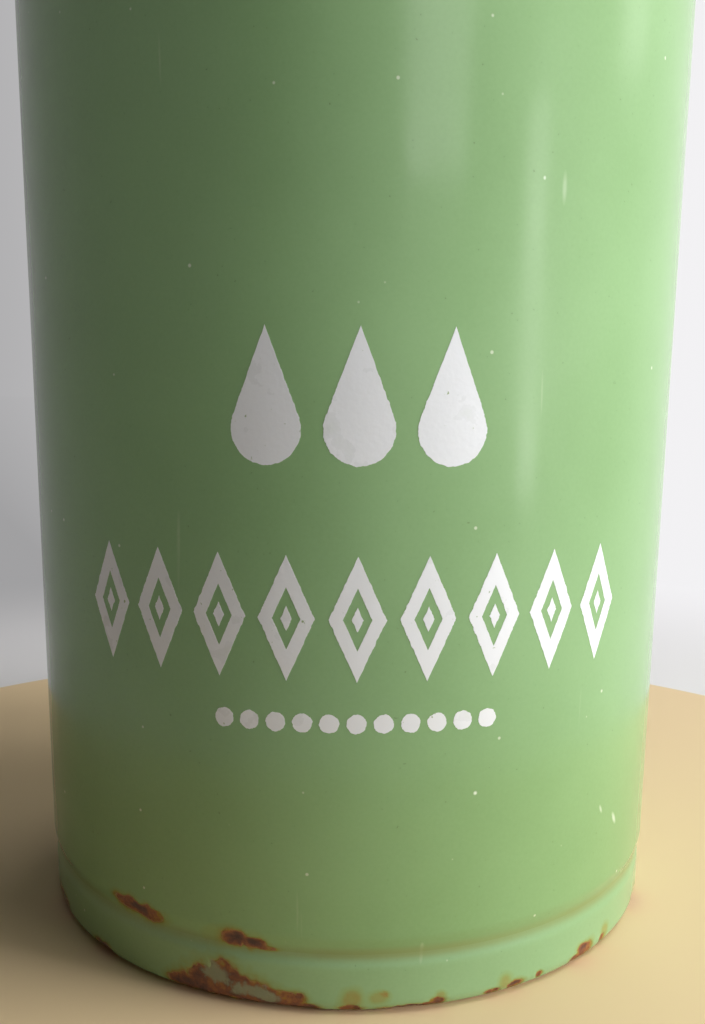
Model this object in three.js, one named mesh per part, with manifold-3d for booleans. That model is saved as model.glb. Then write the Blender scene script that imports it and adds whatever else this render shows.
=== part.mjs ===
// An enamelled sheet-steel kerosene can that holds two litres up to its shoulder.
// Millimetres, +Z up. The origin is the centre of the foot ring, on the table, and the
// spout points along -Y. The bail lies back on the rear handle, as it does when let go.
import * as THREE from "three";
import { mergeVertices } from "three/addons/utils/BufferGeometryUtils.js";
import Module from "manifold-3d";

const { degToRad, radToDeg } = THREE.MathUtils;

// Vessel: a rolled body between a pressed base pan and a pressed dome
const BODY_RADIUS = 60;
const SKIRT_RADIUS = 59.7;
const WALL = 1;
const FOOT_HEIGHT = 10;
const SHOULDER_Z = 183;
const SKIRT_HEIGHT = 7;
const SHOULDER_BEND = 8;
const DOME_SLOPE = degToRad(28);
const DOME_TOP_Z = 205.4;
const ROUND_SEGMENTS = 48;

// Clearances: between welded sheets, between stacked pieces and between screw threads
const GAP = 0.4;
const STACK_GAP = 0.3;
const THREAD_CLEARANCE = 0.5;

// Filler: a brass neck clamped in the flat top of the dome, with a screw cap
const FILLER_BORE = 15.2;
const FILLER_THREAD = { root: 18, depth: 1, pitch: 3.5, turns: 2, segments: 32 };
const FILLER_NECK_HEIGHT = 13.5;
const FILLER_CAP_RADIUS = 22.5;
const FLANGE_RADIUS = 24.5;
const FLANGE_THICKNESS = 1.6;
const WASHER_THICKNESS = 1;
const FILLER_GASKET = 2.7;
const NUT_ACROSS_FLATS = 43;
const NUT_HEIGHT = 3.8;

// Spout: a tapered tube standing on the cone of the dome, with a screw cap
const SPOUT_ELEVATION = degToRad(55);
const SPOUT_FOOT_RADIUS = 41;
const SPOUT_HOLE = 11;
const SPOUT_LENGTH = 89;
const SPOUT_TIP_RADIUS = 7;
const NOZZLE_BORE = 5;
const NOZZLE_THREAD = { root: 6.8, depth: 0.8, pitch: 2.5, turns: 2.4, segments: 24 };
const NOZZLE_SLEEVE = 9;
const NOZZLE_NECK_HEIGHT = 9.6;
const SPOUT_CAP_RADIUS = 10.4;
const SPOUT_GASKET = 2.2;

// Bail: a steel wire hooked through two ears, with a turned wooden grip
const PIVOT_Z = 198;
const WIRE_RADIUS = 2.25;
const ARM_X = 68.5;
const BAIL_REACH = 105;
const GRIP_LENGTH = 84;
const GRIP_RADIUS = 11;
const EAR_HALF_WIDTH = 10;
const EAR_THICKNESS = 2;

// Rear handle: a dished steel strap bent into a loop
const STRAP_WIDTH = 20;
const STRAP_THICKNESS = 2;
const HANDLE_TOP_Z = 150;
const HANDLE_REACH = 38;
const HANDLE_BEND = 22;
const HANDLE_LOWER_BEND = 34;
const HANDLE_FOOT_LENGTH = 14;

const ENAMEL = { color: "#6f9852", roughness: 0.18, metalness: 0 };
const BRASS = { color: "#a98a4b", roughness: 0.38, metalness: 1 };
const STEEL = { color: "#8c8c88", roughness: 0.4, metalness: 1 };
const BEECH = { color: "#a8794a", roughness: 0.55, metalness: 0 };
const CORK = { color: "#b98d5c", roughness: 0.9, metalness: 0 };
const FIBRE = { color: "#7a3b2c", roughness: 0.8, metalness: 0 };
const LEATHER = { color: "#5a4030", roughness: 0.8, metalness: 0 };

const wasm = await Module();
wasm.setup();

// Outlines, turned shapes and solids

// Points of an arc about a centre, angles in degrees.
function arc([centreX, centreY], radius, from, to, steps) {
  return Array.from({ length: steps + 1 }, (_, i) => {
    const angle = degToRad(from + ((to - from) * i) / steps);
    return [centreX + radius * Math.cos(angle), centreY + radius * Math.sin(angle)];
  });
}

function shape(points) {
  return new THREE.Shape(points.map(([x, y]) => new THREE.Vector2(x, y)));
}

// Turns an outline of [radius, height] points about +Z. The outer side runs upwards.
function turned(outline, segments) {
  const points = outline.map(([r, z]) => new THREE.Vector2(r, z));
  return new THREE.LatheGeometry(points, segments).rotateX(Math.PI / 2);
}

function ring(inner, outer, low, high, segments) {
  return turned([[inner, low], [outer, low], [outer, high], [inner, high], [inner, low]], segments);
}

function disc(radius, low, thickness, segments) {
  return turned([[0, low], [radius, low], [radius, low + thickness], [0, low + thickness]], segments);
}

// The sealing disc inside a screw cap, which lies over the rim of the neck.
function sealDisc(rim, thickness, thread) {
  return disc(thread.root + 0.6, rim + STACK_GAP, thickness, thread.segments);
}

// A flat path through given points. Extruded with one step per stretch, its straights stay
// long and its bends fine. A section's y runs along the normal of the path's plane.
class BentPath extends THREE.Curve {
  constructor(points, planeNormal) {
    super();
    this.points = points;
    this.planeNormal = planeNormal;
  }

  getPointAt(u) {
    return this.points[Math.round(u * (this.points.length - 1))].clone();
  }

  getTangentAt(u) {
    const i = Math.round(u * (this.points.length - 1));
    const here = this.points[i];
    const before = this.points[Math.max(i - 1, 0)];
    const after = this.points[Math.min(i + 1, this.points.length - 1)];
    const into = here.clone().sub(before).normalize();
    const out = after.clone().sub(here).normalize();
    return into.add(out).normalize();
  }

  computeFrenetFrames(steps) {
    const tangents = this.points.map((_, i) => this.getTangentAt(i / steps));
    const binormals = tangents.map(() => this.planeNormal);
    const normals = tangents.map((tangent) => this.planeNormal.clone().cross(tangent));
    return { tangents, normals, binormals };
  }
}

function extrudedAlong(section, points, planeNormal) {
  const extrudePath = new BentPath(points, planeNormal);
  return new THREE.ExtrudeGeometry(section, { steps: points.length - 1, extrudePath });
}

function solidOf(geometry) {
  const bare = geometry.clone();
  bare.deleteAttribute("normal");
  bare.deleteAttribute("uv");
  const merged = mergeVertices(bare);
  const triVerts = new Uint32Array(merged.index.array);
  const vertProperties = merged.attributes.position.array;
  return new wasm.Manifold(new wasm.Mesh({ numProp: 3, vertProperties, triVerts }));
}

function geometryOf(solid) {
  const { vertProperties, triVerts } = solid.getMesh();
  const geometry = new THREE.BufferGeometry();
  geometry.setAttribute("position", new THREE.BufferAttribute(vertProperties, 3));
  geometry.setIndex(new THREE.BufferAttribute(triVerts, 1));
  geometry.computeVertexNormals();
  return geometry;
}

function piece(name, geometry, finish) {
  const mesh = new THREE.Mesh(geometry, new THREE.MeshStandardMaterial(finish));
  mesh.name = name;
  return mesh;
}

// Screw threads: a rounded right-hand rib that fades out at both ends

const THREAD_ROWS = 5;
const FADE_TURNS = 0.35;

// Outline points up a wall that will carry a thread, from its lower end.
function threadRows(radius, low, thread) {
  const count = Math.round(thread.turns * THREAD_ROWS);
  return Array.from({ length: count + 1 }, (_, i) => [radius, low + (i * thread.pitch) / THREAD_ROWS]);
}

// Raises the rib on a neck's wall, or lets the valleys of a cap's wall come inwards.
function cutThread(geometry, wallRadius, low, thread, inside) {
  const place = geometry.attributes.position;
  const high = threadRows(wallRadius, low, thread).at(-1)[1];
  for (let i = 0; i < place.count; i++) {
    const [x, y, z] = [place.getX(i), place.getY(i), place.getZ(i)];
    const radius = Math.hypot(x, y);
    if (z <= low || z >= high || Math.abs(radius - wallRadius) > 0.01) {
      continue;
    }
    const fade = Math.min(1, Math.min(z - low, high - z) / (FADE_TURNS * thread.pitch));
    const wave = Math.cos(Math.atan2(y, x) - (2 * Math.PI * z) / thread.pitch);
    const rib = (fade * thread.depth * (inside ? wave - 1 : wave + 1)) / 2;
    const scale = (radius + rib) / radius;
    place.setXY(i, x * scale, y * scale);
  }
  return geometry;
}

// Flutes for the fingers: every second column of points on a cap's side is drawn in.
function fluted(geometry, radius, depth) {
  const place = geometry.attributes.position;
  const columns = geometry.parameters.segments;
  const rows = place.count / (columns + 1);
  const scale = 1 - depth / radius;
  for (let i = 0; i < place.count; i++) {
    const [x, y] = [place.getX(i), place.getY(i)];
    const column = Math.floor(i / rows) % columns;
    if (column % 2 === 1 && Math.abs(Math.hypot(x, y) - radius) < 0.01) {
      place.setXY(i, x * scale, y * scale);
    }
  }
  return geometry;
}

// A screw cap closed at the top. Its thread stands in step with the neck's.
function screwCap({ radius, low, rim, threadLow, thread, gasket, top, crown, fluteDepth }) {
  const wall = thread.root + thread.depth + THREAD_CLEARANCE;
  const ceiling = rim + gasket + 2 * STACK_GAP;
  const crest = ceiling + top;
  const cap = turned(
    [
      [0, ceiling],
      [wall, ceiling],
      ...threadRows(wall, threadLow, thread).reverse(),
      [wall, low],
      [radius - crown, low],
      [radius, low + crown],
      [radius, crest - crown],
      [radius - crown, crest],
      [0, crest],
    ],
    thread.segments,
  );
  cutThread(cap, wall, threadLow, thread, true);
  return fluted(cap, radius, fluteDepth);
}

// The body's ends are necked in, and the skirts of pan and dome are pushed over them.

const BODY_TOP = SHOULDER_Z - SKIRT_HEIGHT;
const NECK_RADIUS = SKIRT_RADIUS - WALL - GAP;
const EDGE_ROUND = 0.5;

function bodyShell() {
  const neckLow = 3.4;
  const neckHigh = SHOULDER_Z - 1;
  const ramp = 2.8;
  const low = FOOT_HEIGHT + GAP;
  const high = BODY_TOP - GAP;
  const shift = WALL / 2;
  return turned(
    [
      [NECK_RADIUS, neckLow],
      [NECK_RADIUS, low],
      [BODY_RADIUS, low + ramp],
      [BODY_RADIUS, high - ramp],
      [NECK_RADIUS, high],
      [NECK_RADIUS, neckHigh],
      [NECK_RADIUS - WALL, neckHigh],
      [NECK_RADIUS - WALL, high - shift],
      [BODY_RADIUS - WALL, high - ramp - shift],
      [BODY_RADIUS - WALL, low + ramp + shift],
      [NECK_RADIUS - WALL, low + shift],
      [NECK_RADIUS - WALL, neckLow],
      [NECK_RADIUS, neckLow],
    ],
    ROUND_SEGMENTS,
  );
}

// The pan stands on a flat ring, and its panel is raised inside the ring.
function basePan() {
  const cornerRadius = 2.5;
  const corner = [SKIRT_RADIUS - cornerRadius, cornerRadius];
  const footInner = 51.5;
  const panelRadius = 48.5;
  const panelRise = 2.5;
  return turned(
    [
      [0, panelRise],
      [panelRadius, panelRise],
      [footInner, 0],
      ...arc(corner, cornerRadius, -90, 0, 3),
      [SKIRT_RADIUS, FOOT_HEIGHT - EDGE_ROUND],
      [SKIRT_RADIUS - EDGE_ROUND, FOOT_HEIGHT],
      [SKIRT_RADIUS - WALL, FOOT_HEIGHT],
      ...arc(corner, cornerRadius - WALL, 0, -90, 2),
      [footInner + WALL / 2, WALL],
      [panelRadius + WALL / 2, panelRise + WALL],
      [0, panelRise + WALL],
    ],
    ROUND_SEGMENTS,
  );
}

// The dome's outline from the skirt's upper end to the flat top, drawn inwards by an offset.
function domeLine(offset) {
  const centre = [SKIRT_RADIUS - SHOULDER_BEND, SHOULDER_Z];
  const bend = arc(centre, SHOULDER_BEND - offset, 0, 90 - radToDeg(DOME_SLOPE), 4);
  const [r, z] = bend.at(-1);
  const flat = DOME_TOP_Z - offset;
  return [...bend, [r - (flat - z) / Math.tan(DOME_SLOPE), flat]];
}

function coneHeight(radius) {
  const [topRadius, topZ] = domeLine(0).at(-1);
  return topZ - (radius - topRadius) * Math.tan(DOME_SLOPE);
}

const NECK_HOLE = FILLER_THREAD.root - GAP;

// Local +Z of the spout's frame runs up the spout, from the point where it meets the cone.
const spout = new THREE.Group();
spout.position.set(0, -SPOUT_FOOT_RADIUS, coneHeight(SPOUT_FOOT_RADIUS));
spout.rotation.x = Math.PI / 2 - SPOUT_ELEVATION;
spout.updateMatrix();

function shoulderDome() {
  const shell = turned(
    [
      [SKIRT_RADIUS - WALL, BODY_TOP],
      [SKIRT_RADIUS - EDGE_ROUND, BODY_TOP],
      [SKIRT_RADIUS, BODY_TOP + EDGE_ROUND],
      ...domeLine(0),
      [NECK_HOLE, DOME_TOP_Z],
      [NECK_HOLE, DOME_TOP_Z - WALL],
      ...domeLine(WALL).reverse(),
      [SKIRT_RADIUS - WALL, BODY_TOP],
    ],
    ROUND_SEGMENTS,
  );
  const punch = new THREE.CylinderGeometry(SPOUT_HOLE, SPOUT_HOLE, 30, 24).rotateX(Math.PI / 2);
  punch.applyMatrix4(spout.matrix);
  return geometryOf(solidOf(shell).subtract(solidOf(punch)));
}

// Filler: flange, washers and nut clamp the neck in the dome's hole

const FLANGE_Z = DOME_TOP_Z + WASHER_THICKNESS + 2 * STACK_GAP;
const FILLER_SEAT_Z = FLANGE_Z + FLANGE_THICKNESS;
const FILLER_THREAD_Z = FILLER_SEAT_Z + 2.4;
const FILLER_RIM_Z = FILLER_SEAT_Z + FILLER_NECK_HEIGHT;
const SHANK_RADIUS = NECK_HOLE - GAP;
const NUT_Z = DOME_TOP_Z - WALL - WASHER_THICKNESS - 2 * STACK_GAP - NUT_HEIGHT;

function fillerNeck() {
  const tail = NUT_Z - 2;
  const lip = 0.6;
  const neck = turned(
    [
      [FILLER_BORE, tail],
      [SHANK_RADIUS, tail],
      [SHANK_RADIUS, FLANGE_Z],
      [FLANGE_RADIUS, FLANGE_Z],
      [FLANGE_RADIUS, FILLER_SEAT_Z],
      [FILLER_THREAD.root, FILLER_SEAT_Z],
      ...threadRows(FILLER_THREAD.root, FILLER_THREAD_Z, FILLER_THREAD),
      [FILLER_THREAD.root, FILLER_RIM_Z - lip],
      [FILLER_THREAD.root - lip, FILLER_RIM_Z],
      [FILLER_BORE, FILLER_RIM_Z],
      [FILLER_BORE, tail],
    ],
    FILLER_THREAD.segments,
  );
  return cutThread(neck, FILLER_THREAD.root, FILLER_THREAD_Z, FILLER_THREAD, false);
}

function neckNut() {
  const corner = NUT_ACROSS_FLATS / 2 / Math.cos(Math.PI / 6);
  const hexagon = shape(arc([0, 0], corner, 0, 300, 5));
  hexagon.holes.push(new THREE.Path().absarc(0, 0, NECK_HOLE, 0, 2 * Math.PI, true));
  const plate = new THREE.ExtrudeGeometry(hexagon, { depth: NUT_HEIGHT, bevelEnabled: false });
  return plate.translate(0, 0, NUT_Z);
}

function neckWasher(low) {
  return ring(NECK_HOLE, FLANGE_RADIUS - 1, low, low + WASHER_THICKNESS, FILLER_THREAD.segments);
}

function fillerCap() {
  return screwCap({
    radius: FILLER_CAP_RADIUS,
    low: FILLER_SEAT_Z + 0.6,
    rim: FILLER_RIM_Z,
    threadLow: FILLER_THREAD_Z,
    thread: FILLER_THREAD,
    gasket: FILLER_GASKET,
    top: 2,
    crown: 1,
    fluteDepth: 0.8,
  });
}

// Spout pieces, in the spout's own frame

function spoutTube() {
  const outer = [
    [16.5, -8],
    [14.6, 0],
    [13.2, 4],
    [12.2, 9],
    [SPOUT_TIP_RADIUS, SPOUT_LENGTH - NOZZLE_SLEEVE - 2],
    [SPOUT_TIP_RADIUS, SPOUT_LENGTH],
  ];
  const inner = outer.map(([r, z]) => [r - WALL, z]).reverse();
  const tube = turned([...outer, ...inner, outer[0]], 28);
  const below = [[0, BODY_TOP], [SKIRT_RADIUS + GAP, BODY_TOP]];
  const vessel = turned([...below, ...domeLine(-GAP), [0, DOME_TOP_Z + GAP]], ROUND_SEGMENTS);
  vessel.applyMatrix4(spout.matrix.clone().invert());
  return geometryOf(solidOf(tube).subtract(solidOf(vessel)));
}

const NOZZLE_SEAT = SPOUT_LENGTH + 2;
const NOZZLE_THREAD_Z = NOZZLE_SEAT + 1.6;
const NOZZLE_RIM = NOZZLE_SEAT + NOZZLE_NECK_HEIGHT;

function spoutNozzle() {
  const bore = SPOUT_TIP_RADIUS + GAP;
  const collar = bore + 2;
  const low = SPOUT_LENGTH - NOZZLE_SLEEVE;
  const lip = 0.5;
  const nozzle = turned(
    [
      [bore, low],
      [bore + WALL, low],
      [bore + WALL, SPOUT_LENGTH],
      [collar, SPOUT_LENGTH],
      [collar, NOZZLE_SEAT],
      [NOZZLE_THREAD.root, NOZZLE_SEAT],
      ...threadRows(NOZZLE_THREAD.root, NOZZLE_THREAD_Z, NOZZLE_THREAD),
      [NOZZLE_THREAD.root, NOZZLE_RIM - lip],
      [NOZZLE_THREAD.root - lip, NOZZLE_RIM],
      [NOZZLE_BORE, NOZZLE_RIM],
      [NOZZLE_BORE, SPOUT_LENGTH + GAP],
      [bore, SPOUT_LENGTH + GAP],
      [bore, low],
    ],
    NOZZLE_THREAD.segments,
  );
  return cutThread(nozzle, NOZZLE_THREAD.root, NOZZLE_THREAD_Z, NOZZLE_THREAD, false);
}

function spoutCap() {
  return screwCap({
    radius: SPOUT_CAP_RADIUS,
    low: NOZZLE_SEAT + 0.6,
    rim: NOZZLE_RIM,
    threadLow: NOZZLE_THREAD_Z,
    thread: NOZZLE_THREAD,
    gasket: SPOUT_GASKET,
    top: 1.6,
    crown: 0.8,
    fluteDepth: 0.6,
  });
}

// Ears: lugs bent to the dome's skirt, on the left (-1) and the right (1)

function bailEar(side) {
  const foot = BODY_TOP + 1.5;
  const crown = arc([0, PIVOT_Z], EAR_HALF_WIDTH, 0, 180, 8);
  const lug = shape([[EAR_HALF_WIDTH, foot], ...crown, [-EAR_HALF_WIDTH, foot]]);
  lug.holes.push(new THREE.Path().absarc(0, PIVOT_Z, WIRE_RADIUS + 0.7, 0, 2 * Math.PI, true));
  const reach = BODY_RADIUS + 20;
  const block = new THREE.ExtrudeGeometry(lug, { depth: reach, bevelEnabled: false, curveSegments: 8 });
  block.rotateX(Math.PI / 2).rotateZ((side * Math.PI) / 2);
  const inner = SKIRT_RADIUS + GAP;
  const bent = ring(inner, inner + EAR_THICKNESS, foot - 1, PIVOT_Z + 2 * EAR_HALF_WIDTH, 2 * ROUND_SEGMENTS);
  return geometryOf(solidOf(block).intersect(solidOf(bent)));
}

// Rear handle: the strap runs down in the plane x = 0, from its upper foot to its lower foot

const HANDLE_OUT_Y = BODY_RADIUS + HANDLE_REACH;
const HANDLE_BEND_CENTRE = [HANDLE_OUT_Y - HANDLE_BEND, HANDLE_TOP_Z - HANDLE_BEND];

function handlePath() {
  const wallY = BODY_RADIUS + GAP + STRAP_THICKNESS / 2;
  const footBend = 8;
  const lowerTurn = 62;
  const straight = 28;
  const rootZ = HANDLE_TOP_Z + footBend;
  const lowerCentre = [HANDLE_OUT_Y - HANDLE_LOWER_BEND, HANDLE_BEND_CENTRE[1] - straight];
  const lowerArc = arc(lowerCentre, HANDLE_LOWER_BEND, 0, -lowerTurn, 5);
  const [y, z] = lowerArc.at(-1);
  const landingY = wallY + footBend * (1 - Math.cos(degToRad(lowerTurn)));
  const landingZ = z - (y - landingY) / Math.tan(degToRad(lowerTurn));
  const footZ = landingZ - footBend * Math.sin(degToRad(lowerTurn));
  return [
    [wallY, rootZ + HANDLE_FOOT_LENGTH],
    ...arc([wallY + footBend, rootZ], footBend, 180, 270, 4),
    ...arc(HANDLE_BEND_CENTRE, HANDLE_BEND, 90, 0, 6),
    ...lowerArc,
    ...arc([wallY + footBend, footZ], footBend, 180 - lowerTurn, 180, 3),
    [wallY, footZ - HANDLE_FOOT_LENGTH],
  ].map(([alongY, height]) => new THREE.Vector3(0, alongY, height));
}

// The strap is dished to the curve of the body, so both its feet lie flat on the wall.
function rearHandle() {
  const inner = BODY_RADIUS + GAP;
  const outer = inner + STRAP_THICKNESS;
  const middle = (inner + outer) / 2;
  const turn = radToDeg(STRAP_WIDTH / 2 / middle);
  const bow = (radius, from, to) => arc([0, 0], radius, from, to, 3).map(([x, y]) => [middle - x, y]);
  const section = shape([...bow(inner, -turn, turn), ...bow(outer, turn, -turn)]);
  return extrudedAlong(section, handlePath(), new THREE.Vector3(-1, 0, 0));
}

// Bail: local +Y of its frame runs from the pivot to the grip

// The angle below level at which the grip lies on the upper bend of the rear handle.
function restAngle() {
  const [y, z] = [HANDLE_BEND_CENTRE[0], PIVOT_Z - HANDLE_BEND_CENTRE[1]];
  const away = Math.hypot(y, z);
  const touch = HANDLE_BEND + STRAP_THICKNESS / 2 + GRIP_RADIUS + GAP;
  const between = Math.acos((away ** 2 + BAIL_REACH ** 2 - touch ** 2) / (2 * away * BAIL_REACH));
  return Math.atan2(z, y) - between;
}

const bail = new THREE.Group();
bail.position.z = PIVOT_Z;
bail.rotation.x = -restAngle();

function bailWire() {
  const hookX = SKIRT_RADIUS - 3.6;
  const hookBend = 3.5;
  const hookLength = 7.5;
  const armBend = 5;
  const cornerBend = 22;
  const half = [
    [hookX, hookLength],
    ...arc([hookX + hookBend, hookBend], hookBend, 180, 270, 3),
    ...arc([ARM_X - armBend, armBend], armBend, -90, 0, 3),
    ...arc([ARM_X - cornerBend, BAIL_REACH - cornerBend], cornerBend, 0, 90, 6),
  ];
  const mirrored = half.map(([x, y]) => [-x, y]).reverse();
  const points = [...half, ...mirrored].map(([x, y]) => new THREE.Vector3(x, y, 0));
  return extrudedAlong(shape(arc([0, 0], WIRE_RADIUS, 0, 315, 7)), points, new THREE.Vector3(0, 0, 1));
}

// The grip swells towards its middle like a barrel.
function bailGrip() {
  const bore = WIRE_RADIUS + 0.5;
  const half = GRIP_LENGTH / 2;
  const endRadius = 8;
  const endRound = 1.5;
  const swell = (share) => endRadius + (GRIP_RADIUS - endRadius) * Math.cos((Math.PI / 2) * share);
  const barrel = [-0.95, -0.65, -0.35, 0, 0.35, 0.65, 0.95].map((share) => [swell(share), share * half]);
  const outline = [
    [bore, -half],
    [endRadius - endRound, -half],
    ...barrel,
    [endRadius - endRound, half],
    [bore, half],
    [bore, -half],
  ];
  return turned(outline, 20).rotateY(Math.PI / 2).translate(0, BAIL_REACH, 0);
}

// Assembly

const can = new THREE.Group();
can.add(piece("base_pan", basePan(), ENAMEL));
can.add(piece("body_shell", bodyShell(), ENAMEL));
can.add(piece("shoulder_dome", shoulderDome(), ENAMEL));
can.add(piece("bail_ear_left", bailEar(-1), ENAMEL));
can.add(piece("bail_ear_right", bailEar(1), ENAMEL));
can.add(piece("rear_handle", rearHandle(), ENAMEL));

can.add(piece("neck_nut", neckNut(), BRASS));
can.add(piece("neck_washer_inner", neckWasher(NUT_Z + NUT_HEIGHT + STACK_GAP), FIBRE));
can.add(piece("neck_washer_outer", neckWasher(DOME_TOP_Z + STACK_GAP), FIBRE));
can.add(piece("filler_neck", fillerNeck(), BRASS));
can.add(piece("filler_gasket", sealDisc(FILLER_RIM_Z, FILLER_GASKET, FILLER_THREAD), CORK));
can.add(piece("filler_cap", fillerCap(), BRASS));

spout.add(piece("spout_tube", spoutTube(), ENAMEL));
spout.add(piece("spout_nozzle", spoutNozzle(), BRASS));
spout.add(piece("spout_cap_washer", sealDisc(NOZZLE_RIM, SPOUT_GASKET, NOZZLE_THREAD), LEATHER));
spout.add(piece("spout_cap", spoutCap(), BRASS));
can.add(spout);

bail.add(piece("bail_wire", bailWire(), STEEL));
bail.add(piece("bail_grip", bailGrip(), BEECH));
can.add(bail);

export default can;
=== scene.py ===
import math

import bmesh
import bpy
from mathutils import Matrix, Vector, noise


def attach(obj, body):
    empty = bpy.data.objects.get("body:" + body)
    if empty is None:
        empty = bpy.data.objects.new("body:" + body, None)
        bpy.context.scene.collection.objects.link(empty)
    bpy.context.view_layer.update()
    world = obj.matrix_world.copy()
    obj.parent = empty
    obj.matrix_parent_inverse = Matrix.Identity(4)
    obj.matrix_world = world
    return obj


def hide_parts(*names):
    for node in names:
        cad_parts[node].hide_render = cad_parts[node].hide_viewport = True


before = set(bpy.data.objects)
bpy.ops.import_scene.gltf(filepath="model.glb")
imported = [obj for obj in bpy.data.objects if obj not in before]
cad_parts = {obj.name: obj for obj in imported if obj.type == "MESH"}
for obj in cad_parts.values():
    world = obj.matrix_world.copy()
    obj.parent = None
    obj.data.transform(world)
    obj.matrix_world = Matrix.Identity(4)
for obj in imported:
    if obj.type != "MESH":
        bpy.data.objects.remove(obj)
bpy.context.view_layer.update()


# Foot pan
# The pressed steel bottom of the can: a raised panel inside a flat standing ring, and a low skirt that
# closes round the body's lower end. It is enamelled with the body, and its edge has chipped to rust.

MM = 0.001
MERGE_GAP = 1e-6
SHEET = 1
SKIRT_RADIUS = 59.7
SEAM_RADIUS = 59.2
FOOT_SEAM_Z = 10.4
SHOULDER_SEAM_Z = 175.6
SKIRT_TOP_Z = 7.7
RING_RADIUS = 57.2
FOOT_BEND = 2.5
PANEL_Z = 2.5
CHIP_COLUMNS = 768
CHIP_DEPTH = 0.22
CHIP_EDGE = 0.06
SPOT_END = 2.5
SHEET_CREASE = 50
GLASS_IOR = 1.52


def arc(centre, radius, first, last, steps):
    """Points of an arc in millimetres, between two angles in degrees."""
    turns = [math.radians(first + (last - first) * step / steps) for step in range(steps + 1)]
    return [(centre[0] + radius * math.cos(turn), centre[1] + radius * math.sin(turn)) for turn in turns]


def rounded(corners, steps=5):
    """Profile points from (radius, height, fillet) corners in millimetres, each fillet drawn as an arc."""
    points = []
    for index, (radius, height, fillet) in enumerate(corners):
        if fillet == 0:
            points.append((radius, height))
            continue
        corner = Vector((radius, height))
        back = (Vector(corners[index - 1][:2]) - corner).normalized()
        ahead = (Vector(corners[(index + 1) % len(corners)][:2]) - corner).normalized()
        half = back.angle(ahead) / 2
        centre = corner + (back + ahead).normalized() * fillet / math.sin(half)
        start = corner + back * fillet / math.tan(half) - centre
        end = corner + ahead * fillet / math.tan(half) - centre
        first = math.degrees(math.atan2(start.y, start.x))
        turn = math.remainder(math.degrees(math.atan2(end.y, end.x)) - first, 360)
        points += arc(centre, fillet, first, first + turn, steps)
    return points


def eased(start, end, steps):
    """Profile points from one (radius, height) to another, upright at both ends."""
    points = []
    for step in range(steps + 1):
        share = step / steps
        sway = 0.5 - 0.5 * math.cos(math.pi * share)
        points.append((start[0] + (end[0] - start[0]) * sway, start[1] + (end[1] - start[1]) * share))
    return points


def closed():
    """Merges the doubled points of the active piece and turns its faces outwards."""
    bpy.ops.object.mode_set(mode="EDIT")
    bpy.ops.mesh.select_all(action="SELECT")
    bpy.ops.mesh.remove_doubles(threshold=MERGE_GAP)
    bpy.ops.mesh.normals_make_consistent(inside=False)
    bpy.ops.object.mode_set(mode="OBJECT")


def turned(name, profile, columns):
    """Turns a closed piece about the upright axis: a point is drawn out along the (radius, height) points
    of its outline, in millimetres, and the line is swept round. An outline off the axis is joined to its
    start."""
    outline = profile if profile[0][0] == 0 else profile + profile[:1]
    bpy.ops.object.select_all(action="DESELECT")
    bpy.ops.mesh.primitive_plane_add(size=MM, location=(outline[0][0] * MM, 0, outline[0][1] * MM))
    piece = bpy.context.object
    piece.name = name
    bpy.ops.object.transform_apply(location=True)
    bpy.ops.object.mode_set(mode="EDIT")
    bpy.ops.mesh.select_all(action="SELECT")
    bpy.ops.mesh.merge(type="CENTER")
    for (radius, height), (next_radius, next_height) in zip(outline, outline[1:]):
        step = ((next_radius - radius) * MM, 0, (next_height - height) * MM)
        bpy.ops.mesh.extrude_region_move(TRANSFORM_OT_translate={"value": step})
    bpy.ops.object.mode_set(mode="OBJECT")
    lathe = piece.modifiers.new("lathe", "SCREW")
    lathe.steps = columns
    lathe.render_steps = columns
    lathe.use_merge_vertices = True
    lathe.merge_threshold = MERGE_GAP
    bpy.ops.object.modifier_apply(modifier=lathe.name)
    closed()
    return piece


def s_curve(share):
    """Rises from 0 to 1 with no slope at either end, and is level beyond them."""
    held = min(max(share, 0), 1)
    return held * held * (3 - 2 * held)


def reached(place, spots):
    """How far the worst of some spots reaches a place, from 0 to 1, with 0.5 at a spot's ragged edge. A spot
    is (angle from the front in degrees, distance from the axis, height, half width, half height, most), in
    millimetres. One whose most is below 0 is a stain, which fades out from its middle and has no edge."""
    bearing = math.degrees(math.atan2(place.x, -place.y))
    radius = place.xy.length
    worst = 0.0
    for angle, away, height, wide, high, most in spots:
        rise = (place.z - height) / high
        if abs(rise) > SPOT_END:
            continue
        turn = math.radians(bearing - angle)
        along = radius * math.sin(turn) / wide
        outward = (radius * math.cos(turn) - away) / max(wide, 4)
        spread = math.hypot(along, rise, outward)
        if spread > SPOT_END:
            continue
        ragged = 0.34 * noise.noise(place / 2.1)
        if most < 0:
            reach = (0.5 + 0.5 * most) * min(1, 1.2 - 1.2 * (max(0, spread - ragged) / 1.7) ** 2)
        else:
            reach = 0.5 + 0.5 * min(1 - spread + ragged + 0.22 * noise.noise(place / 0.8), most)
        worst = max(worst, reach)
    return worst


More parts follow.
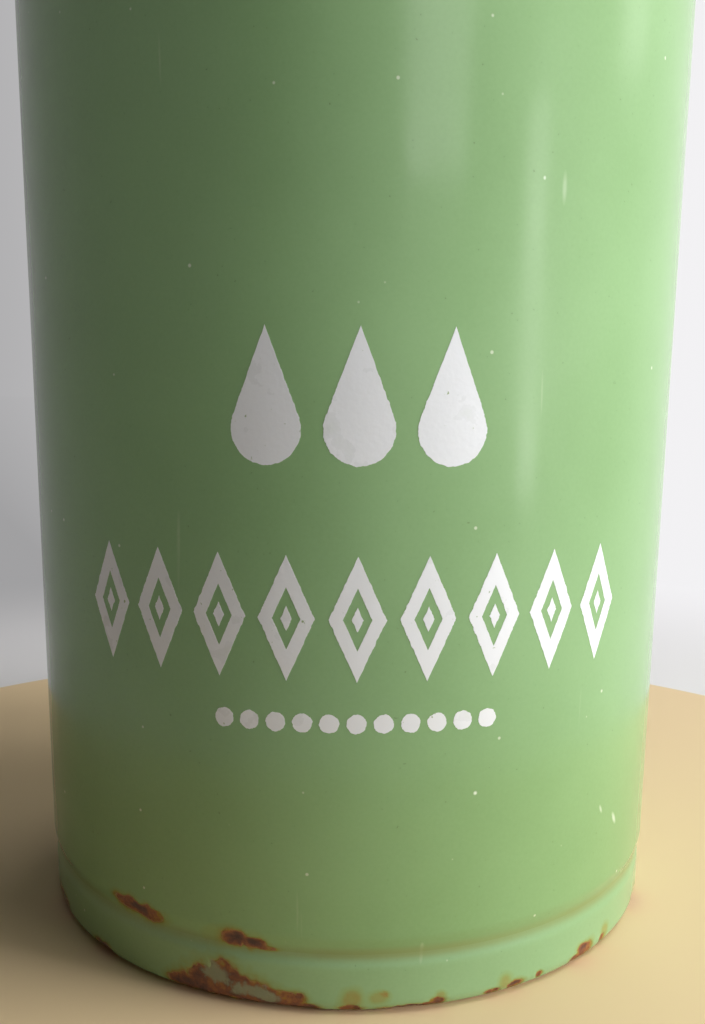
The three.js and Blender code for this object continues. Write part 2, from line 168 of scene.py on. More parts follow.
def chipped(piece, chips, depth, grey=()):
    """Knocks chips out of the enamel, to a depth in millimetres. Each is a spot whose most is 1 down to the
    steel. In the grey spots the ground coat is left. The enamel that fills the seams stays, so a chip
    doesn't open them."""
    damage = piece.data.attributes.new("chip", "FLOAT", "POINT")
    ground = piece.data.attributes.new("ground_coat", "FLOAT", "POINT")
    outward = [vertex.normal.copy() for vertex in piece.data.vertices]
    for vertex in piece.data.vertices:
        place = vertex.co / MM
        worst = reached(place, chips)
        damage.data[vertex.index].value = worst
        ground.data[vertex.index].value = reached(place, grey)
        clear = min(abs(place.z - FOOT_SEAM_Z), abs(place.z - SHOULDER_SEAM_Z)) - 0.2
        sunk = s_curve((worst - 0.5) / CHIP_EDGE) * min(max(clear, 0), 1)
        vertex.co -= outward[vertex.index] * depth * MM * sunk


def taken(piece):
    """Selects one piece alone and makes it active, for the operators that follow."""
    bpy.ops.object.select_all(action="DESELECT")
    piece.select_set(True)
    bpy.context.view_layer.objects.active = piece


def smoothed(piece, material, crease):
    """Shades a piece smooth apart from edges sharper than a crease in degrees, and gives it its material."""
    taken(piece)
    bpy.ops.object.shade_smooth_by_angle(angle=math.radians(crease))
    piece.data.materials.append(material)


def linear(code):
    """Linear colour from an sRGB hex code."""
    parts = [int(code[place:place + 2], 16) / 255 for place in (1, 3, 5)]
    return [part / 12.92 if part <= 0.04045 else ((part + 0.055) / 1.055) ** 2.4 for part in parts] + [1.0]


def feed(tree, made, inputs):
    """Links each input of a node that is given a socket or another node, and sets any other to its value."""
    for socket, value in inputs.items():
        if isinstance(value, bpy.types.Node):
            value = next(output for output in value.outputs if output.enabled)
        if isinstance(value, bpy.types.NodeSocket):
            tree.links.new(value, made.inputs[socket])
        else:
            made.inputs[socket].default_value = value


def node(tree, kind, inputs, **settings):
    """Adds a shader node. A MapRange's inputs 1 and 2 are the values that it takes to its inputs 3 and 4,
    which are 0 and 1 if not given. A colour Mix goes from input 6 to input 7 by the share in input 0."""
    made = tree.nodes.new("ShaderNode" + kind)
    for setting, value in settings.items():
        setattr(made, setting, value)
    feed(tree, made, inputs)
    return made


def stops(ramp, colours):
    """Sets a colour ramp's stops from {position: hex code or grey value}."""
    band = ramp.color_ramp
    while len(band.elements) < len(colours):
        band.elements.new(0.5)
    for element, (position, colour) in zip(band.elements, sorted(colours.items())):
        element.position = position
        element.color = linear(colour) if isinstance(colour, str) else [colour] * 3 + [1.0]


def begun(name):
    """A new material, its node tree, its shader and the place on the piece that its patterns read."""
    material = bpy.data.materials.new(name)
    material.use_nodes = True
    tree = material.node_tree
    return material, tree, tree.nodes["Principled BSDF"], node(tree, "TexCoord", {}).outputs["Object"]


def vitreous_enamel(name, green, deep_green, scratch_glints=()):
    """Glass fused on sheet steel: a clear even gloss with a slight orange-peel wave, and faint clouds and
    pinholes in the colour. Where it is knocked off, rusty steel and some grey ground coat show, with an olive
    stain round them. The pale scratch marks are nicks and scratches, their paleness partly a painted glint of
    light on them. Each is (angle from the front, distance from the axis, height, half width, half length,
    lean, strength)."""
    enamel, tree, shader, place = begun(name)
    # Clouds of about 40 mm, from how thickly the slip ran before firing, and a fine mottle of about 0.6 mm.
    clouds = node(tree, "TexNoise", {"Vector": place, "Scale": 1 / (40 * MM), "Detail": 3.0})
    cloudy = node(tree, "MapRange", {0: clouds, 1: 0.35, 2: 0.68})
    mottle = node(tree, "TexNoise", {"Vector": place, "Scale": 1 / (0.6 * MM), "Detail": 2.0})
    mottle = node(tree, "MapRange", {0: mottle, 3: -0.35, 4: 0.35})
    cloudy = node(tree, "Math", {0: cloudy, 1: mottle}, operation="ADD", use_clamp=True)
    tone = node(tree, "Mix", {0: cloudy, 6: linear(green), 7: linear(deep_green)}, data_type="RGBA")
    # Dark pinholes of about 0.6 mm, few and faint.
    pits = node(tree, "TexNoise", {"Vector": place, "Scale": 1 / (0.6 * MM), "Detail": 1.0})
    pits = node(tree, "MapRange", {0: pits, 1: 0.77, 2: 0.84, 4: 0.35})
    # Pale specks under half a millimetre, some 7 mm apart through the coat, so few of them break the surface.
    specks = node(tree, "TexVoronoi", {"Vector": place, "Scale": 1 / (7 * MM)})
    specks = node(tree, "MapRange", {0: specks, 1: 0.047, 2: 0.026, 4: 0.75})
    # Hair scratches 0.5 mm wide and up to 15 mm long, mostly upright.
    drag = (1 / (1.6 * MM), 1 / (1.6 * MM), 1 / (30 * MM))
    hairs = node(tree, "Mapping", {"Vector": place, "Scale": drag})
    hairs = node(tree, "TexNoise", {"Vector": hairs, "Scale": 1.0, "Detail": 1.0})
    hairs = node(tree, "MapRange", {0: hairs, 1: 0.77, 2: 0.83, 4: 0.25})
    flaws = [(pits, "#3c4a2c"), (specks, "#d2dcc2"), (hairs, "#c4d2b2")]
    # The scratches and nicks are pale slivers: partly glaze bruised pale, partly a painted glint of light on
    # them.
    for angle, away, height, wide, long, lean, strength in scratch_glints:
        turn = math.radians(angle)
        sliver = {
            "Location": (away * math.sin(turn) * MM, -away * math.cos(turn) * MM, height * MM),
            "Rotation": (0, math.radians(lean), turn),
            "Scale": (wide * MM, 2 * MM, long * MM),
        }
        glint = node(tree, "Mapping", {"Vector": place, **sliver}, vector_type="TEXTURE")
        glint = node(tree, "VectorMath", {0: glint}, operation="LENGTH")
        glint = node(tree, "MapRange", {0: glint, 1: 1.0, 2: 0.3, 4: strength})
        flaws.append((glint, "#e2ecd8"))
    # Grime settles within 2 mm of the two seams, at the foot and under the shoulder.
    up = node(tree, "SeparateXYZ", {0: place}).outputs["Z"]
    gaps = []
    for seam_z in (FOOT_SEAM_Z, SHOULDER_SEAM_Z):
        gap = node(tree, "Math", {0: up, 1: seam_z * MM}, operation="SUBTRACT")
        gaps.append(node(tree, "Math", {0: gap}, operation="ABSOLUTE"))
    grime = node(tree, "Math", {0: gaps[0], 1: gaps[1]}, operation="MINIMUM")
    grime_edge = {1: 1.8 * MM, 2: 0.1 * MM, 4: 0.75}
    grime = node(tree, "MapRange", {0: grime, **grime_edge}, interpolation_type="SMOOTHSTEP")
    patches = node(tree, "TexNoise", {"Vector": place, "Scale": 1 / (18 * MM), "Detail": 4.0})
    patchy = node(tree, "MapRange", {0: patches, 1: 0.3, 2: 0.6, 3: 0.5, 4: 1.0})
    grime = node(tree, "Math", {0: grime, 1: patchy}, operation="MULTIPLY")
    flaws.append((grime, "#85915a"))
    for share, colour in flaws:
        tone = node(tree, "Mix", {0: share, 6: tone, 7: linear(colour)}, data_type="RGBA")
    # A grain of about 1 mm breaks up the chips' edges, and blotches of about 2 mm vary the rust in them.
    chip = node(tree, "Attribute", {}, attribute_name="chip").outputs["Fac"]
    fine_grain = {"Scale": 1 / (1.1 * MM), "Detail": 5.0, "Roughness": 0.65}
    grain = node(tree, "TexNoise", {"Vector": place, **fine_grain})
    jag = node(tree, "MapRange", {0: grain, 3: -0.13, 4: 0.13})
    near = node(tree, "MapRange", {0: chip, 1: 0.42, 2: 0.54})
    jag = node(tree, "Math", {0: jag, 1: near}, operation="MULTIPLY")
    wear = node(tree, "Math", {0: chip, 1: jag}, operation="ADD", use_clamp=True)
    # The lowest 0.9 mm of the edge that the can stands on takes the chips' dark colours in patches, nearly
    # all round.
    edge = node(tree, "MapRange", {0: up, 1: 0.9 * MM, 2: 0.2 * MM})
    bottom_rim = node(tree, "MapRange", {0: patches, 1: 0.35, 2: 0.65, 3: 0.45, 4: 0.7})
    bottom_rim = node(tree, "Math", {0: bottom_rim, 1: edge}, operation="MULTIPLY")
    wear = node(tree, "Math", {0: wear, 1: bottom_rim}, operation="MAXIMUM")
    cover = node(tree, "ValToRGB", {0: wear})
    stops(cover, {0.12: 0.0, 0.3: 0.25, 0.43: 0.6, 0.52: 1.0})
    coarse_grain = {"Scale": 1 / (2.2 * MM), "Detail": 4.0, "Roughness": 0.6}
    blotch = node(tree, "TexNoise", {"Vector": place, **coarse_grain})
    blotchy = node(tree, "MapRange", {0: blotch, 1: 0.25, 2: 0.75, 3: -0.16, 4: 0.16})
    eaten = node(tree, "MapRange", {0: wear, 1: 0.46, 2: 0.56})
    blotchy = node(tree, "Math", {0: blotchy, 1: eaten}, operation="MULTIPLY")
    eaten = node(tree, "Math", {0: wear, 1: blotchy}, operation="ADD")
    rust = node(tree, "ValToRGB", {0: eaten})
    stain_colours = {0.36: "#8d9230", 0.45: "#957f24"}
    rust_colours = {0.52: "#98693c", 0.61: "#86553a", 0.74: "#67463a", 0.9: "#4f3a33"}
    stops(rust, {**stain_colours, **rust_colours})
    # Grey ground coat is left in some of the chips, in patches.
    ground = node(tree, "Attribute", {}, attribute_name="ground_coat").outputs["Fac"]
    left = node(tree, "MapRange", {0: blotch, 1: 0.3, 2: 0.7, 3: -0.3, 4: 0.3})
    left = node(tree, "Math", {0: ground, 1: left}, operation="ADD")
    left = node(tree, "MapRange", {0: left, 1: 0.4, 2: 0.68, 4: 0.85})
    rust = node(tree, "Mix", {0: left, 6: rust, 7: linear("#929a7d")}, data_type="RGBA")
    colour = node(tree, "Mix", {0: cover, 6: tone, 7: rust}, data_type="RGBA")
    # Smears of about 25 mm from handling dull the gloss a little; rust is matt.
    smears = node(tree, "TexNoise", {"Vector": place, "Scale": 1 / (25 * MM), "Detail": 4.0})
    gloss = node(tree, "MapRange", {0: smears, 1: 0.3, 2: 0.75, 3: 0.13, 4: 0.26})
    bare = node(tree, "MapRange", {0: wear, 1: 0.48, 2: 0.56})
    gloss = node(tree, "Mix", {0: bare, 2: gloss, 3: 0.8})
    # The glaze waves by 0.03 mm over 7 mm and the sheet under it by 0.15 mm over 30 mm. Rust is 0.2 mm rough.
    peel = node(tree, "TexNoise", {"Vector": place, "Scale": 1 / (7 * MM), "Detail": 1.0})
    peel = node(tree, "Bump", {"Height": peel, "Distance": 0.03 * MM})
    sheet = node(tree, "TexNoise", {"Vector": place, "Scale": 1 / (30 * MM), "Detail": 0.0})
    sheet = node(tree, "Bump", {"Height": sheet, "Distance": 0.15 * MM, "Normal": peel})
    crust = node(tree, "Math", {0: grain, 1: bare}, operation="MULTIPLY")
    crust = node(tree, "Bump", {"Height": crust, "Distance": 0.2 * MM, "Normal": sheet})
    feed(tree, shader, {"Base Color": colour, "Roughness": gloss, "Normal": crust, "IOR": GLASS_IOR})
    return enamel


foot_outline = rounded(
    [
        (0, PANEL_Z + SHEET, 0),
        (48.1, PANEL_Z + SHEET, 1),
        (51.3, SHEET, 1),
        (RING_RADIUS, SHEET, 1.4),
        (SKIRT_RADIUS - SHEET, FOOT_BEND, 0.8),
        (SKIRT_RADIUS - SHEET, FOOT_SEAM_Z - 0.5, 0),
    ]
)
foot_outline += eased((SEAM_RADIUS, FOOT_SEAM_Z), (SKIRT_RADIUS, SKIRT_TOP_Z), 9)
skirt_rise = SKIRT_TOP_Z - FOOT_BEND
foot_outline += [(SKIRT_RADIUS, SKIRT_TOP_Z - skirt_rise * row / 12) for row in range(1, 13)]
foot_outline += arc((RING_RADIUS, FOOT_BEND), FOOT_BEND, 0, -90, 12)[1:]
foot_outline += rounded([(RING_RADIUS, 0, 0), (51.5, 0, 1.5), (48.5, PANEL_Z, 1.5), (0, PANEL_Z, 0)])[1:]
foot_pan = turned("foot_pan", foot_outline, CHIP_COLUMNS)
foot_chips = [
    (-39.4, 59.8, 12.6, 2.9, 1.45, 0.22),
    (-34.6, 59.8, 12.0, 2.9, 1.45, 0.22),
    (-37.0, 59.8, 12.3, 2.6, 1.1, 0.7),
    (-18.5, 59.8, 11.8, 2.4, 1.6, 0.9),
    (-15.7, 59.8, 11.3, 2.1, 1.1, 0.9),
    (-19.0, 59.8, 11.8, 4.0, 2.0, -0.18),
    (-13.4, 59.6, 10.6, 1.8, 0.4, 0.1),
    (-27.6, 59.6, 1.8, 3.0, 2.0, 0.6),
    (-24.2, 59.6, 2.6, 3.0, 3.3, 0.4),
    (-20.4, 59.6, 3.2, 3.2, 3.7, 0.3),
    (-16.8, 59.6, 2.4, 3.2, 3.1, 0.3),
    (-13.2, 59.5, 1.4, 3.0, 2.6, 0.45),
    (-9.8, 59.4, 1.6, 2.7, 2.0, 0.2),
    (-7.1, 59.0, 0.8, 1.8, 1.2, 0.4),
    (-0.3, 59.6, 2.9, 1.9, 1.7, -0.11),
    (-0.4, 59.2, 1.1, 1.7, 0.8, 0.15),
    (4.8, 59.7, 3.7, 0.9, 0.65, -0.05),
    (3.8, 59.7, 3.2, 1.8, 1.1, -0.16),
    (13.2, 59.3, 1.4, 1.2, 0.8, 0.35),
    (13.7, 59.5, 2.4, 0.9, 1.0, -0.14),
    (9.2, 58.8, 0.7, 4.2, 0.7, 0.3),
    (22.6, 59.2, 1.2, 1.4, 0.65, 0.15),
    (24.8, 59.6, 2.6, 1.4, 1.3, -0.14),
    (27.1, 59.4, 1.5, 1.4, 0.9, 0.45),
    (31.9, 59.4, 1.7, 0.6, 0.7, 0.25),
    (43.1, 59.5, 2.1, 2.3, 1.5, 0.25),
    (40.8, 59.3, 1.4, 1.4, 0.9, 0.45),
    (49.6, 59.6, 3.2, 1.3, 1.5, -0.14),
    (48.7, 59.4, 1.7, 0.8, 1.1, 0.2),
    (-47, 59.2, 1.2, 3.0, 1.2, 0.7),
    (-66, 59.4, 1.5, 5.0, 2.0, 0.9),
    (-97, 59.2, 1.0, 3.5, 1.4, 0.6),
    (-125, 59.4, 1.4, 4.5, 2.4, 0.9),
    (-131, 59.4, 1.6, 4.0, 3.4, 0.7),
    (-165, 59.2, 0.8, 3.0, 1.5, 0.7),
    (68, 59.3, 1.2, 4.0, 1.8, 0.9),
    (92, 59.4, 1.5, 2.2, 1.6, 0.5),
    (115, 59.4, 1.6, 3.5, 2.8, 0.9),
    (121, 59.4, 1.4, 3.2, 1.8, 0.6),
    (149, 59.2, 1.0, 4.5, 1.5, 0.7),
    (176, 59.4, 1.4, 3.2, 2.2, 0.9),
    (104, 59.8, 12.2, 2.6, 1.1, 0.5),
    (-82, 59.8, 12.4, 3.4, 1.2, 0.6),
    (-150, 59.8, 11.9, 2.2, 1.1, 0.3),
]
grey_spots = [
    (-22.1, 59.6, 4.6, 2.0, 1.9, 1),
    (-16.2, 59.6, 3.0, 3.0, 1.2, 1),
    (-13.1, 59.5, 2.2, 2.2, 1.1, 1),
    (-66, 59.4, 1.6, 2.0, 0.9, 1),
    (-129, 59.4, 2.2, 2.6, 1.2, 1),
    (117, 59.4, 1.6, 2.2, 1.2, 1),
]
chipped(foot_pan, foot_chips, CHIP_DEPTH, grey_spots)
# The foot's green is paler and cooler than the body's: partly thinner enamel on the bead, partly a painted
# reflection of light from the board and surround.
smoothed(foot_pan, vitreous_enamel("vitreous_enamel_foot_thin_and_lit", "#90b585", "#88ac7c"), SHEET_CREASE)
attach(foot_pan, "can")
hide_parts("base_pan")


# Body
# A sheet of steel rolled to a tube and welded up the back, its two ends necked in to go inside the foot pan
# and the shoulder. It is enamelled green all over, and the enamel fills the two seams to shallow grooves.

WALL_RADIUS = 60
WALL_LOW_Z = 13.8
WALL_HIGH_Z = 172.2
NECKED_RADIUS = 58.3
WELD_WIDTH = 2.6
WELD_HEIGHT = 0.22


def hump(apart, reach):
    """Height of a round hump that is 1 at its middle and ends at its reach."""
    return 0.5 + 0.5 * math.cos(math.pi * min(apart / reach, 1))


wall_rows = (14.3, 15, 16, 18, 24, 40, 70, 100, 130, 158, 166, 169, 170.5)
wall_outline = eased((SEAM_RADIUS, FOOT_SEAM_Z), (WALL_RADIUS, WALL_LOW_Z), 8)
wall_outline += [(WALL_RADIUS, height) for height in wall_rows]
wall_outline += eased((WALL_RADIUS, WALL_HIGH_Z), (SEAM_RADIUS, SHOULDER_SEAM_Z), 8)
wall_outline += [(NECKED_RADIUS, 176.2), (NECKED_RADIUS, 182), (NECKED_RADIUS - SHEET, 182)]
wall_outline += [(NECKED_RADIUS - SHEET, 175.8), (WALL_RADIUS - SHEET, WALL_HIGH_Z + 0.2)]
wall_outline += [(WALL_RADIUS - SHEET, WALL_LOW_Z - 0.2), (NECKED_RADIUS - SHEET, 10.2)]
wall_outline += [(NECKED_RADIUS - SHEET, 3.6), (NECKED_RADIUS, 3.6), (NECKED_RADIUS, 9.8)]
wall = turned("wall", wall_outline, CHIP_COLUMNS)
for vertex in wall.data.vertices:
    if vertex.co.y > (WALL_RADIUS - 0.3) * MM:
        vertex.co.y += WELD_HEIGHT * MM * hump(abs(vertex.co.x) / MM, WELD_WIDTH)
shoulder_chips = [
    (-58, 59.6, 175.4, 3.2, 1.2, 0.6),
    (-21, 59.6, 175.6, 2.0, 0.9, 0.3),
    (47, 59.6, 175.5, 4.0, 1.3, 0.7),
    (133, 59.6, 175.4, 3.0, 1.4, 0.6),
    (-140, 59.6, 175.6, 4.2, 1.2, 0.7),
]
chipped(wall, foot_chips + shoulder_chips, CHIP_DEPTH)
# Scratches and nicks on the wall, painted pale partly as glints of light on them.
wall_scratch_glints = [
    (29.1, WALL_RADIUS, 126.6, 0.55, 2.6, 0, 0.2),
    (45.0, WALL_RADIUS, 27.8, 0.4, 1.1, -28, 0.45),
    (49.8, WALL_RADIUS, 24.6, 0.6, 1.7, -32, 0.55),
    (18.1, WALL_RADIUS, 36.6, 0.4, 0.4, 0, 0.95),
    (25.6, WALL_RADIUS, 127.6, 0.3, 0.35, 0, 0.6),
]
green_enamel = vitreous_enamel("vitreous_enamel_green", "#88ad77", "#80a56e", wall_scratch_glints)
smoothed(wall, green_enamel, SHEET_CREASE)
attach(wall, "can")
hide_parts("body_shell")


# Stencilled marks
# Plain ornament in white enamel, brushed through a stencil on the front of the body and fired on: three
# drops, a frieze of lozenges and a row of dots. The coat stands a little proud and its edges are ragged.

COAT = 0.1
COAT_PROUD = 0.04
DROP_RADIUS = 5.2
DROP_TIP = 14.4
LOZENGE_WIDE = 4.3
LOZENGE_HIGH = 9.5
LOZENGE_STEP = 10.6
LOZENGES_Z = 64.7
DOT_RADIUS = 1.5


def wrapped(piece, radius, angle):
    """Bends a flat piece that faces the front round the can, at a radius in metres and an angle from the
    front."""
    for vertex in piece.data.vertices:
        turn = angle + vertex.co.x / radius
        away = radius - vertex.co.y
        vertex.co = (away * math.sin(turn), -away * math.cos(turn), vertex.co.z)


def stencilled(across, up, inner, outer, columns):
    """A mark with its middle at (across, up) in millimetres on the wall. The share from inner to 1 of its
    reach is painted, and outer gives that reach at each angle. A mark with no inner edge is solid."""
    shares = [inner + (1 - inner) * step / 4 for step in range(5)]
    blank = [(share, 0) for share in shares] + [(share, COAT) for share in reversed(shares)]
    mark = turned("mark", blank, columns)
    for vertex in mark.data.vertices:
        angle = math.atan2(vertex.co.y, vertex.co.x)
        share = vertex.co.xy.length / MM
        reach = share * outer(angle)
        spot = Vector((across + reach * math.cos(angle), up + reach * math.sin(angle), 0))
        reach += share * (0.13 * noise.noise(spot / 0.9) + 0.09 * noise.noise(spot / 0.3))
        proud = COAT_PROUD if vertex.co.z > 0 else COAT_PROUD - COAT
        place = Vector((across + reach * math.cos(angle), -proud, up + reach * math.sin(angle)))
        vertex.co = place * MM
    wrapped(mark, WALL_RADIUS * MM, 0)
    return mark


def drop_reach(angle):
    """Reach of a drop that is round below and runs up to a point."""
    near_top = abs(math.remainder(angle - math.pi / 2, 2 * math.pi))
    side = math.acos(DROP_RADIUS / DROP_TIP)
    return DROP_RADIUS if near_top > side else DROP_RADIUS / math.cos(side - near_top)


def lozenge_reach(angle):
    """Reach of an upright lozenge."""
    return 1 / (abs(math.cos(angle)) / LOZENGE_WIDE + abs(math.sin(angle)) / LOZENGE_HIGH)


marks = [stencilled(place * 13.6, 92.4, 0, drop_reach, 240) for place in (-1, 0, 1)]
for place in range(-4, 5):
    across = place * LOZENGE_STEP
    marks.append(stencilled(across, LOZENGES_Z, 0.5, lozenge_reach, 160))
    marks.append(stencilled(across, LOZENGES_Z, 0, lambda angle: 0.2 * lozenge_reach(angle), 64))
for place in range(-5, 6):
    marks.append(stencilled(place * 4.1, 48.7, 0, lambda angle: DOT_RADIUS, 64))
stencil_marks = marks[0]
taken(stencil_marks)
for mark in marks:
    mark.select_set(True)
bpy.ops.object.join()
stencil_marks.name = "stencil_marks"

# White enamel: opaque and less glossy than the green, thin enough in places to let it through.
white_enamel, tree, shader, place = begun("white_enamel")
coat = node(tree, "TexNoise", {"Vector": place, "Scale": 1 / (6 * MM), "Detail": 4.0})
thin = node(tree, "MapRange", {0: coat, 1: 0.4, 2: 0.24, 4: 0.2})
paint = node(tree, "Mix", {0: thin, 6: linear("#e6e9ec"), 7: linear("#b7c7ab")}, data_type="RGBA")
brush = node(tree, "TexNoise", {"Vector": place, "Scale": 1 / (0.8 * MM), "Detail": 2.0})
holes = node(tree, "MapRange", {0: brush, 1: 0.72, 2: 0.78})
paint = node(tree, "Mix", {0: holes, 6: paint, 7: linear("#90a577")}, data_type="RGBA")
gloss = node(tree, "MapRange", {0: coat, 1: 0.3, 2: 0.7, 3: 0.24, 4: 0.38})
brushed = node(tree, "Bump", {"Height": brush, "Distance": 0.03 * MM})
feed(tree, shader, {"Base Color": paint, "Roughness": gloss, "Normal": brushed, "IOR": GLASS_IOR})
smoothed(stencil_marks, white_enamel, SHEET_CREASE)
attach(stencil_marks, "can")


# Shoulder
# The pressed top of the can: a skirt like the foot's, a round bend, and a cone up to a flat land round the
# filler. It is holed for the filler and the spout, welded to the body and enamelled with it.

LAND_Z = 205.4
NECK_HOLE = 17.6
CONE_ANGLE = 28
CONE_SLOPE = math.tan(math.radians(CONE_ANGLE))
BEND_CENTRE = (51.7, 183)
BEND_RADIUS = 8
BEND_TURN = 90 - CONE_ANGLE
CONE_RADIUS, CONE_LOW_Z = arc(BEND_CENTRE, BEND_RADIUS, BEND_TURN, 0, 1)[0]
LAND_RADIUS = CONE_RADIUS - (LAND_Z - CONE_LOW_Z) / CONE_SLOPE


def shoulder_height(radius):
    """Height of the shoulder's outer face at a distance from the axis, in millimetres."""
    if radius > CONE_RADIUS:
        return BEND_CENTRE[1] + math.sqrt(max(0, BEND_RADIUS ** 2 - (radius - BEND_CENTRE[0]) ** 2))
    return min(LAND_Z, CONE_LOW_Z + (CONE_RADIUS - radius) * CONE_SLOPE)


SPOUT_TILT = math.radians(35)
SPOUT_REACH = 41
SPOUT_ROOT = Vector((0, -SPOUT_REACH, shoulder_height(SPOUT_REACH)))

shoulder_outline = eased((SEAM_RADIUS, SHOULDER_SEAM_Z), (SKIRT_RADIUS, 178.3), 7)
shoulder_outline += [(SKIRT_RADIUS, 180), (SKIRT_RADIUS, 181.5)]
shoulder_outline += arc(BEND_CENTRE, BEND_RADIUS, 0, BEND_TURN, 14)
cone_radii = [CONE_RADIUS - 4 * row for row in range(1, 7)]
shoulder_outline += [(radius, shoulder_height(radius)) for radius in cone_radii]
land_bend = [(*shoulder_outline[-1], 0), (LAND_RADIUS, LAND_Z, 4), (NECK_HOLE, LAND_Z, 0)]
shoulder_outline += rounded(land_bend)[1:]
land_under = LAND_Z - SHEET
shoulder_outline += rounded([(NECK_HOLE, land_under, 0), (LAND_RADIUS - 0.3, land_under, 4), (55, 189.2, 0)])
shoulder_outline += arc(BEND_CENTRE, BEND_RADIUS - SHEET, BEND_TURN, 0, 6)
shoulder_outline.append((SKIRT_RADIUS - SHEET, 176.2))
shoulder = turned("shoulder", shoulder_outline, 480)
bpy.ops.mesh.primitive_cylinder_add(
    vertices=64, radius=11 * MM, depth=24 * MM, location=SPOUT_ROOT * MM, rotation=(SPOUT_TILT, 0, 0)
)
punch = bpy.context.object
taken(shoulder)
hole = shoulder.modifiers.new("spout_hole", "BOOLEAN")
hole.object = punch
bpy.ops.object.modifier_apply(modifier=hole.name)
bpy.data.objects.remove(punch)
dome_chips = [
    (-100, 58, 187, 3.0, 1.6, 0.7),
    (-31, 58.6, 186, 3.6, 1.4, 0.8),
    (24, 58.6, 186, 2.2, 1.2, 0.5),
    (97, 57.6, 187.6, 2.6, 2.0, 0.7),
    (158, 58.4, 186.4, 4.4, 1.6, 0.9),
    (-166, 58.6, 186, 2.0, 1.2, 0.4),
    (8, 25, 205.4, 2.6, 2.0, 0.4),
    (-120, 25.5, 205.4, 3.4, 2.0, 0.5),
    (100, 26, 205.2, 2.0, 2.0, 0.5),
]
chipped(shoulder, dome_chips + shoulder_chips, 0.2)
smoothed(shoulder, green_enamel, SHEET_CREASE)
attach(shoulder, "can")
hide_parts("shoulder_dome")


# Bail ears
# Two lugs stamped from 2 mm steel, bent to the shoulder's skirt and spot-welded to it, with a hole for the
# bail's hook. They are enamelled with the can; the hook has worn the enamel off round the hole.

PIVOT_Z = 198
EAR_FOOT_Z = 177.5
EAR_HALF_WIDTH = 10
EAR_HOLE = 2.95
EAR_THICKNESS = 2.4
EAR_MIDDLE = 60.9
EAR_WELDS = ((-5, 181), (5, 181))
DIMPLE_RADIUS = 2.4


def pick(piece, rule):
    """In edit mode, selects just the vertices that the rule takes, and the edges and faces between them."""
    shape = bmesh.from_edit_mesh(piece.data)
    bpy.ops.mesh.select_all(action="DESELECT")
    for vertex in shape.verts:
        vertex.select_set(rule(vertex))
    shape.select_flush(True)
    bmesh.update_edit_mesh(piece.data)


def spot_welded(piece, welds, depth, outside):
    """Presses a weld's dimple along y at each (across, up) place in millimetres, on the face that outside
    tells from a vertex."""
    for vertex in piece.data.vertices:
        if not outside(vertex):
            continue
        for across, up in welds:
            apart = math.hypot(vertex.co.x / MM - across, vertex.co.z / MM - up)
            vertex.co.y += depth * MM * hump(apart, DIMPLE_RADIUS)


def bevelled(piece, width, crease):
    """Rounds a piece's edges sharper than a crease in degrees, to a width in millimetres."""
    bevel = piece.modifiers.new("bevel", "BEVEL")
    bevel.width = width * MM
    bevel.segments = 3
    bevel.limit_method = "ANGLE"
    bevel.angle_limit = math.radians(crease)
    bpy.ops.object.modifier_apply(modifier=bevel.name)


for side, name, node_name in ((-1, "ear_left", "bail_ear_left"), (1, "ear_right", "bail_ear_right")):
    bpy.ops.object.select_all(action="DESELECT")
    pivot = Vector((0, 0, PIVOT_Z * MM))
    bpy.ops.mesh.primitive_circle_add(
        vertices=64, radius=EAR_HOLE * MM, location=pivot, rotation=(math.pi / 2, 0, 0)
    )
    ear = bpy.context.object
    ear.name = name
    bpy.ops.object.transform_apply(location=True, rotation=True)
    bpy.ops.object.mode_set(mode="EDIT")
    bpy.ops.mesh.select_all(action="SELECT")
    reach = EAR_HOLE
    for wider in (3.6, 4.4, 5.4, 7, 8.6, EAR_HALF_WIDTH):
        bpy.ops.mesh.extrude_region_move()
        widen = wider / reach
        bpy.ops.transform.resize(value=(widen, 1, widen), center_override=pivot)
        reach = wider
    rim = (EAR_HALF_WIDTH - 0.1) * MM
    level = (PIVOT_Z + 0.01) * MM
    pick(ear, lambda vertex: vertex.co.z < level and (vertex.co - pivot).length > rim)
    for lower in (188, 186, 184, 182, 180.5, 179, EAR_FOOT_Z):
        bpy.ops.mesh.extrude_region_move(TRANSFORM_OT_translate={"value": (0, 0, -2 * MM)})
        bpy.ops.transform.resize(value=(1, 1, 0), center_override=(0, 0, lower * MM))
    closed()
    sheet = ear.modifiers.new("sheet", "SOLIDIFY")
    sheet.thickness = EAR_THICKNESS * MM
    sheet.offset = 0
    bpy.ops.object.modifier_apply(modifier=sheet.name)
    bevelled(ear, 0.6, 30)
    spot_welded(ear, EAR_WELDS, 0.5, lambda vertex: vertex.co.y < 0)
    wrapped(ear, EAR_MIDDLE * MM, side * math.pi / 2)
    ear_chips = [(side * 90, 61.5, PIVOT_Z - 1, 3.4, 4.4, 0.75), (side * 97, 61.6, 205.5, 3, 1.6, 0.6)]
    chipped(ear, ear_chips, 0.15)
    smoothed(ear, green_enamel, SHEET_CREASE)
    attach(ear, "can")
    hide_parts(node_name)


# Rear handle
# A 20 mm strap of 2 mm steel, dished to the can's curve and bent to a loop for four fingers. Its two feet
# are spot-welded to the back of the body, and it is enamelled in place. Its bends have worn through.

STRAP_MIDDLE = 61.2
STRAP_HALF_WIDTH = 10
STRAP_HALF_THICKNESS = 1.15
STRAP_BEND = 8
STRAP_TOP_Z = 172
STRAP_LEAN = 62


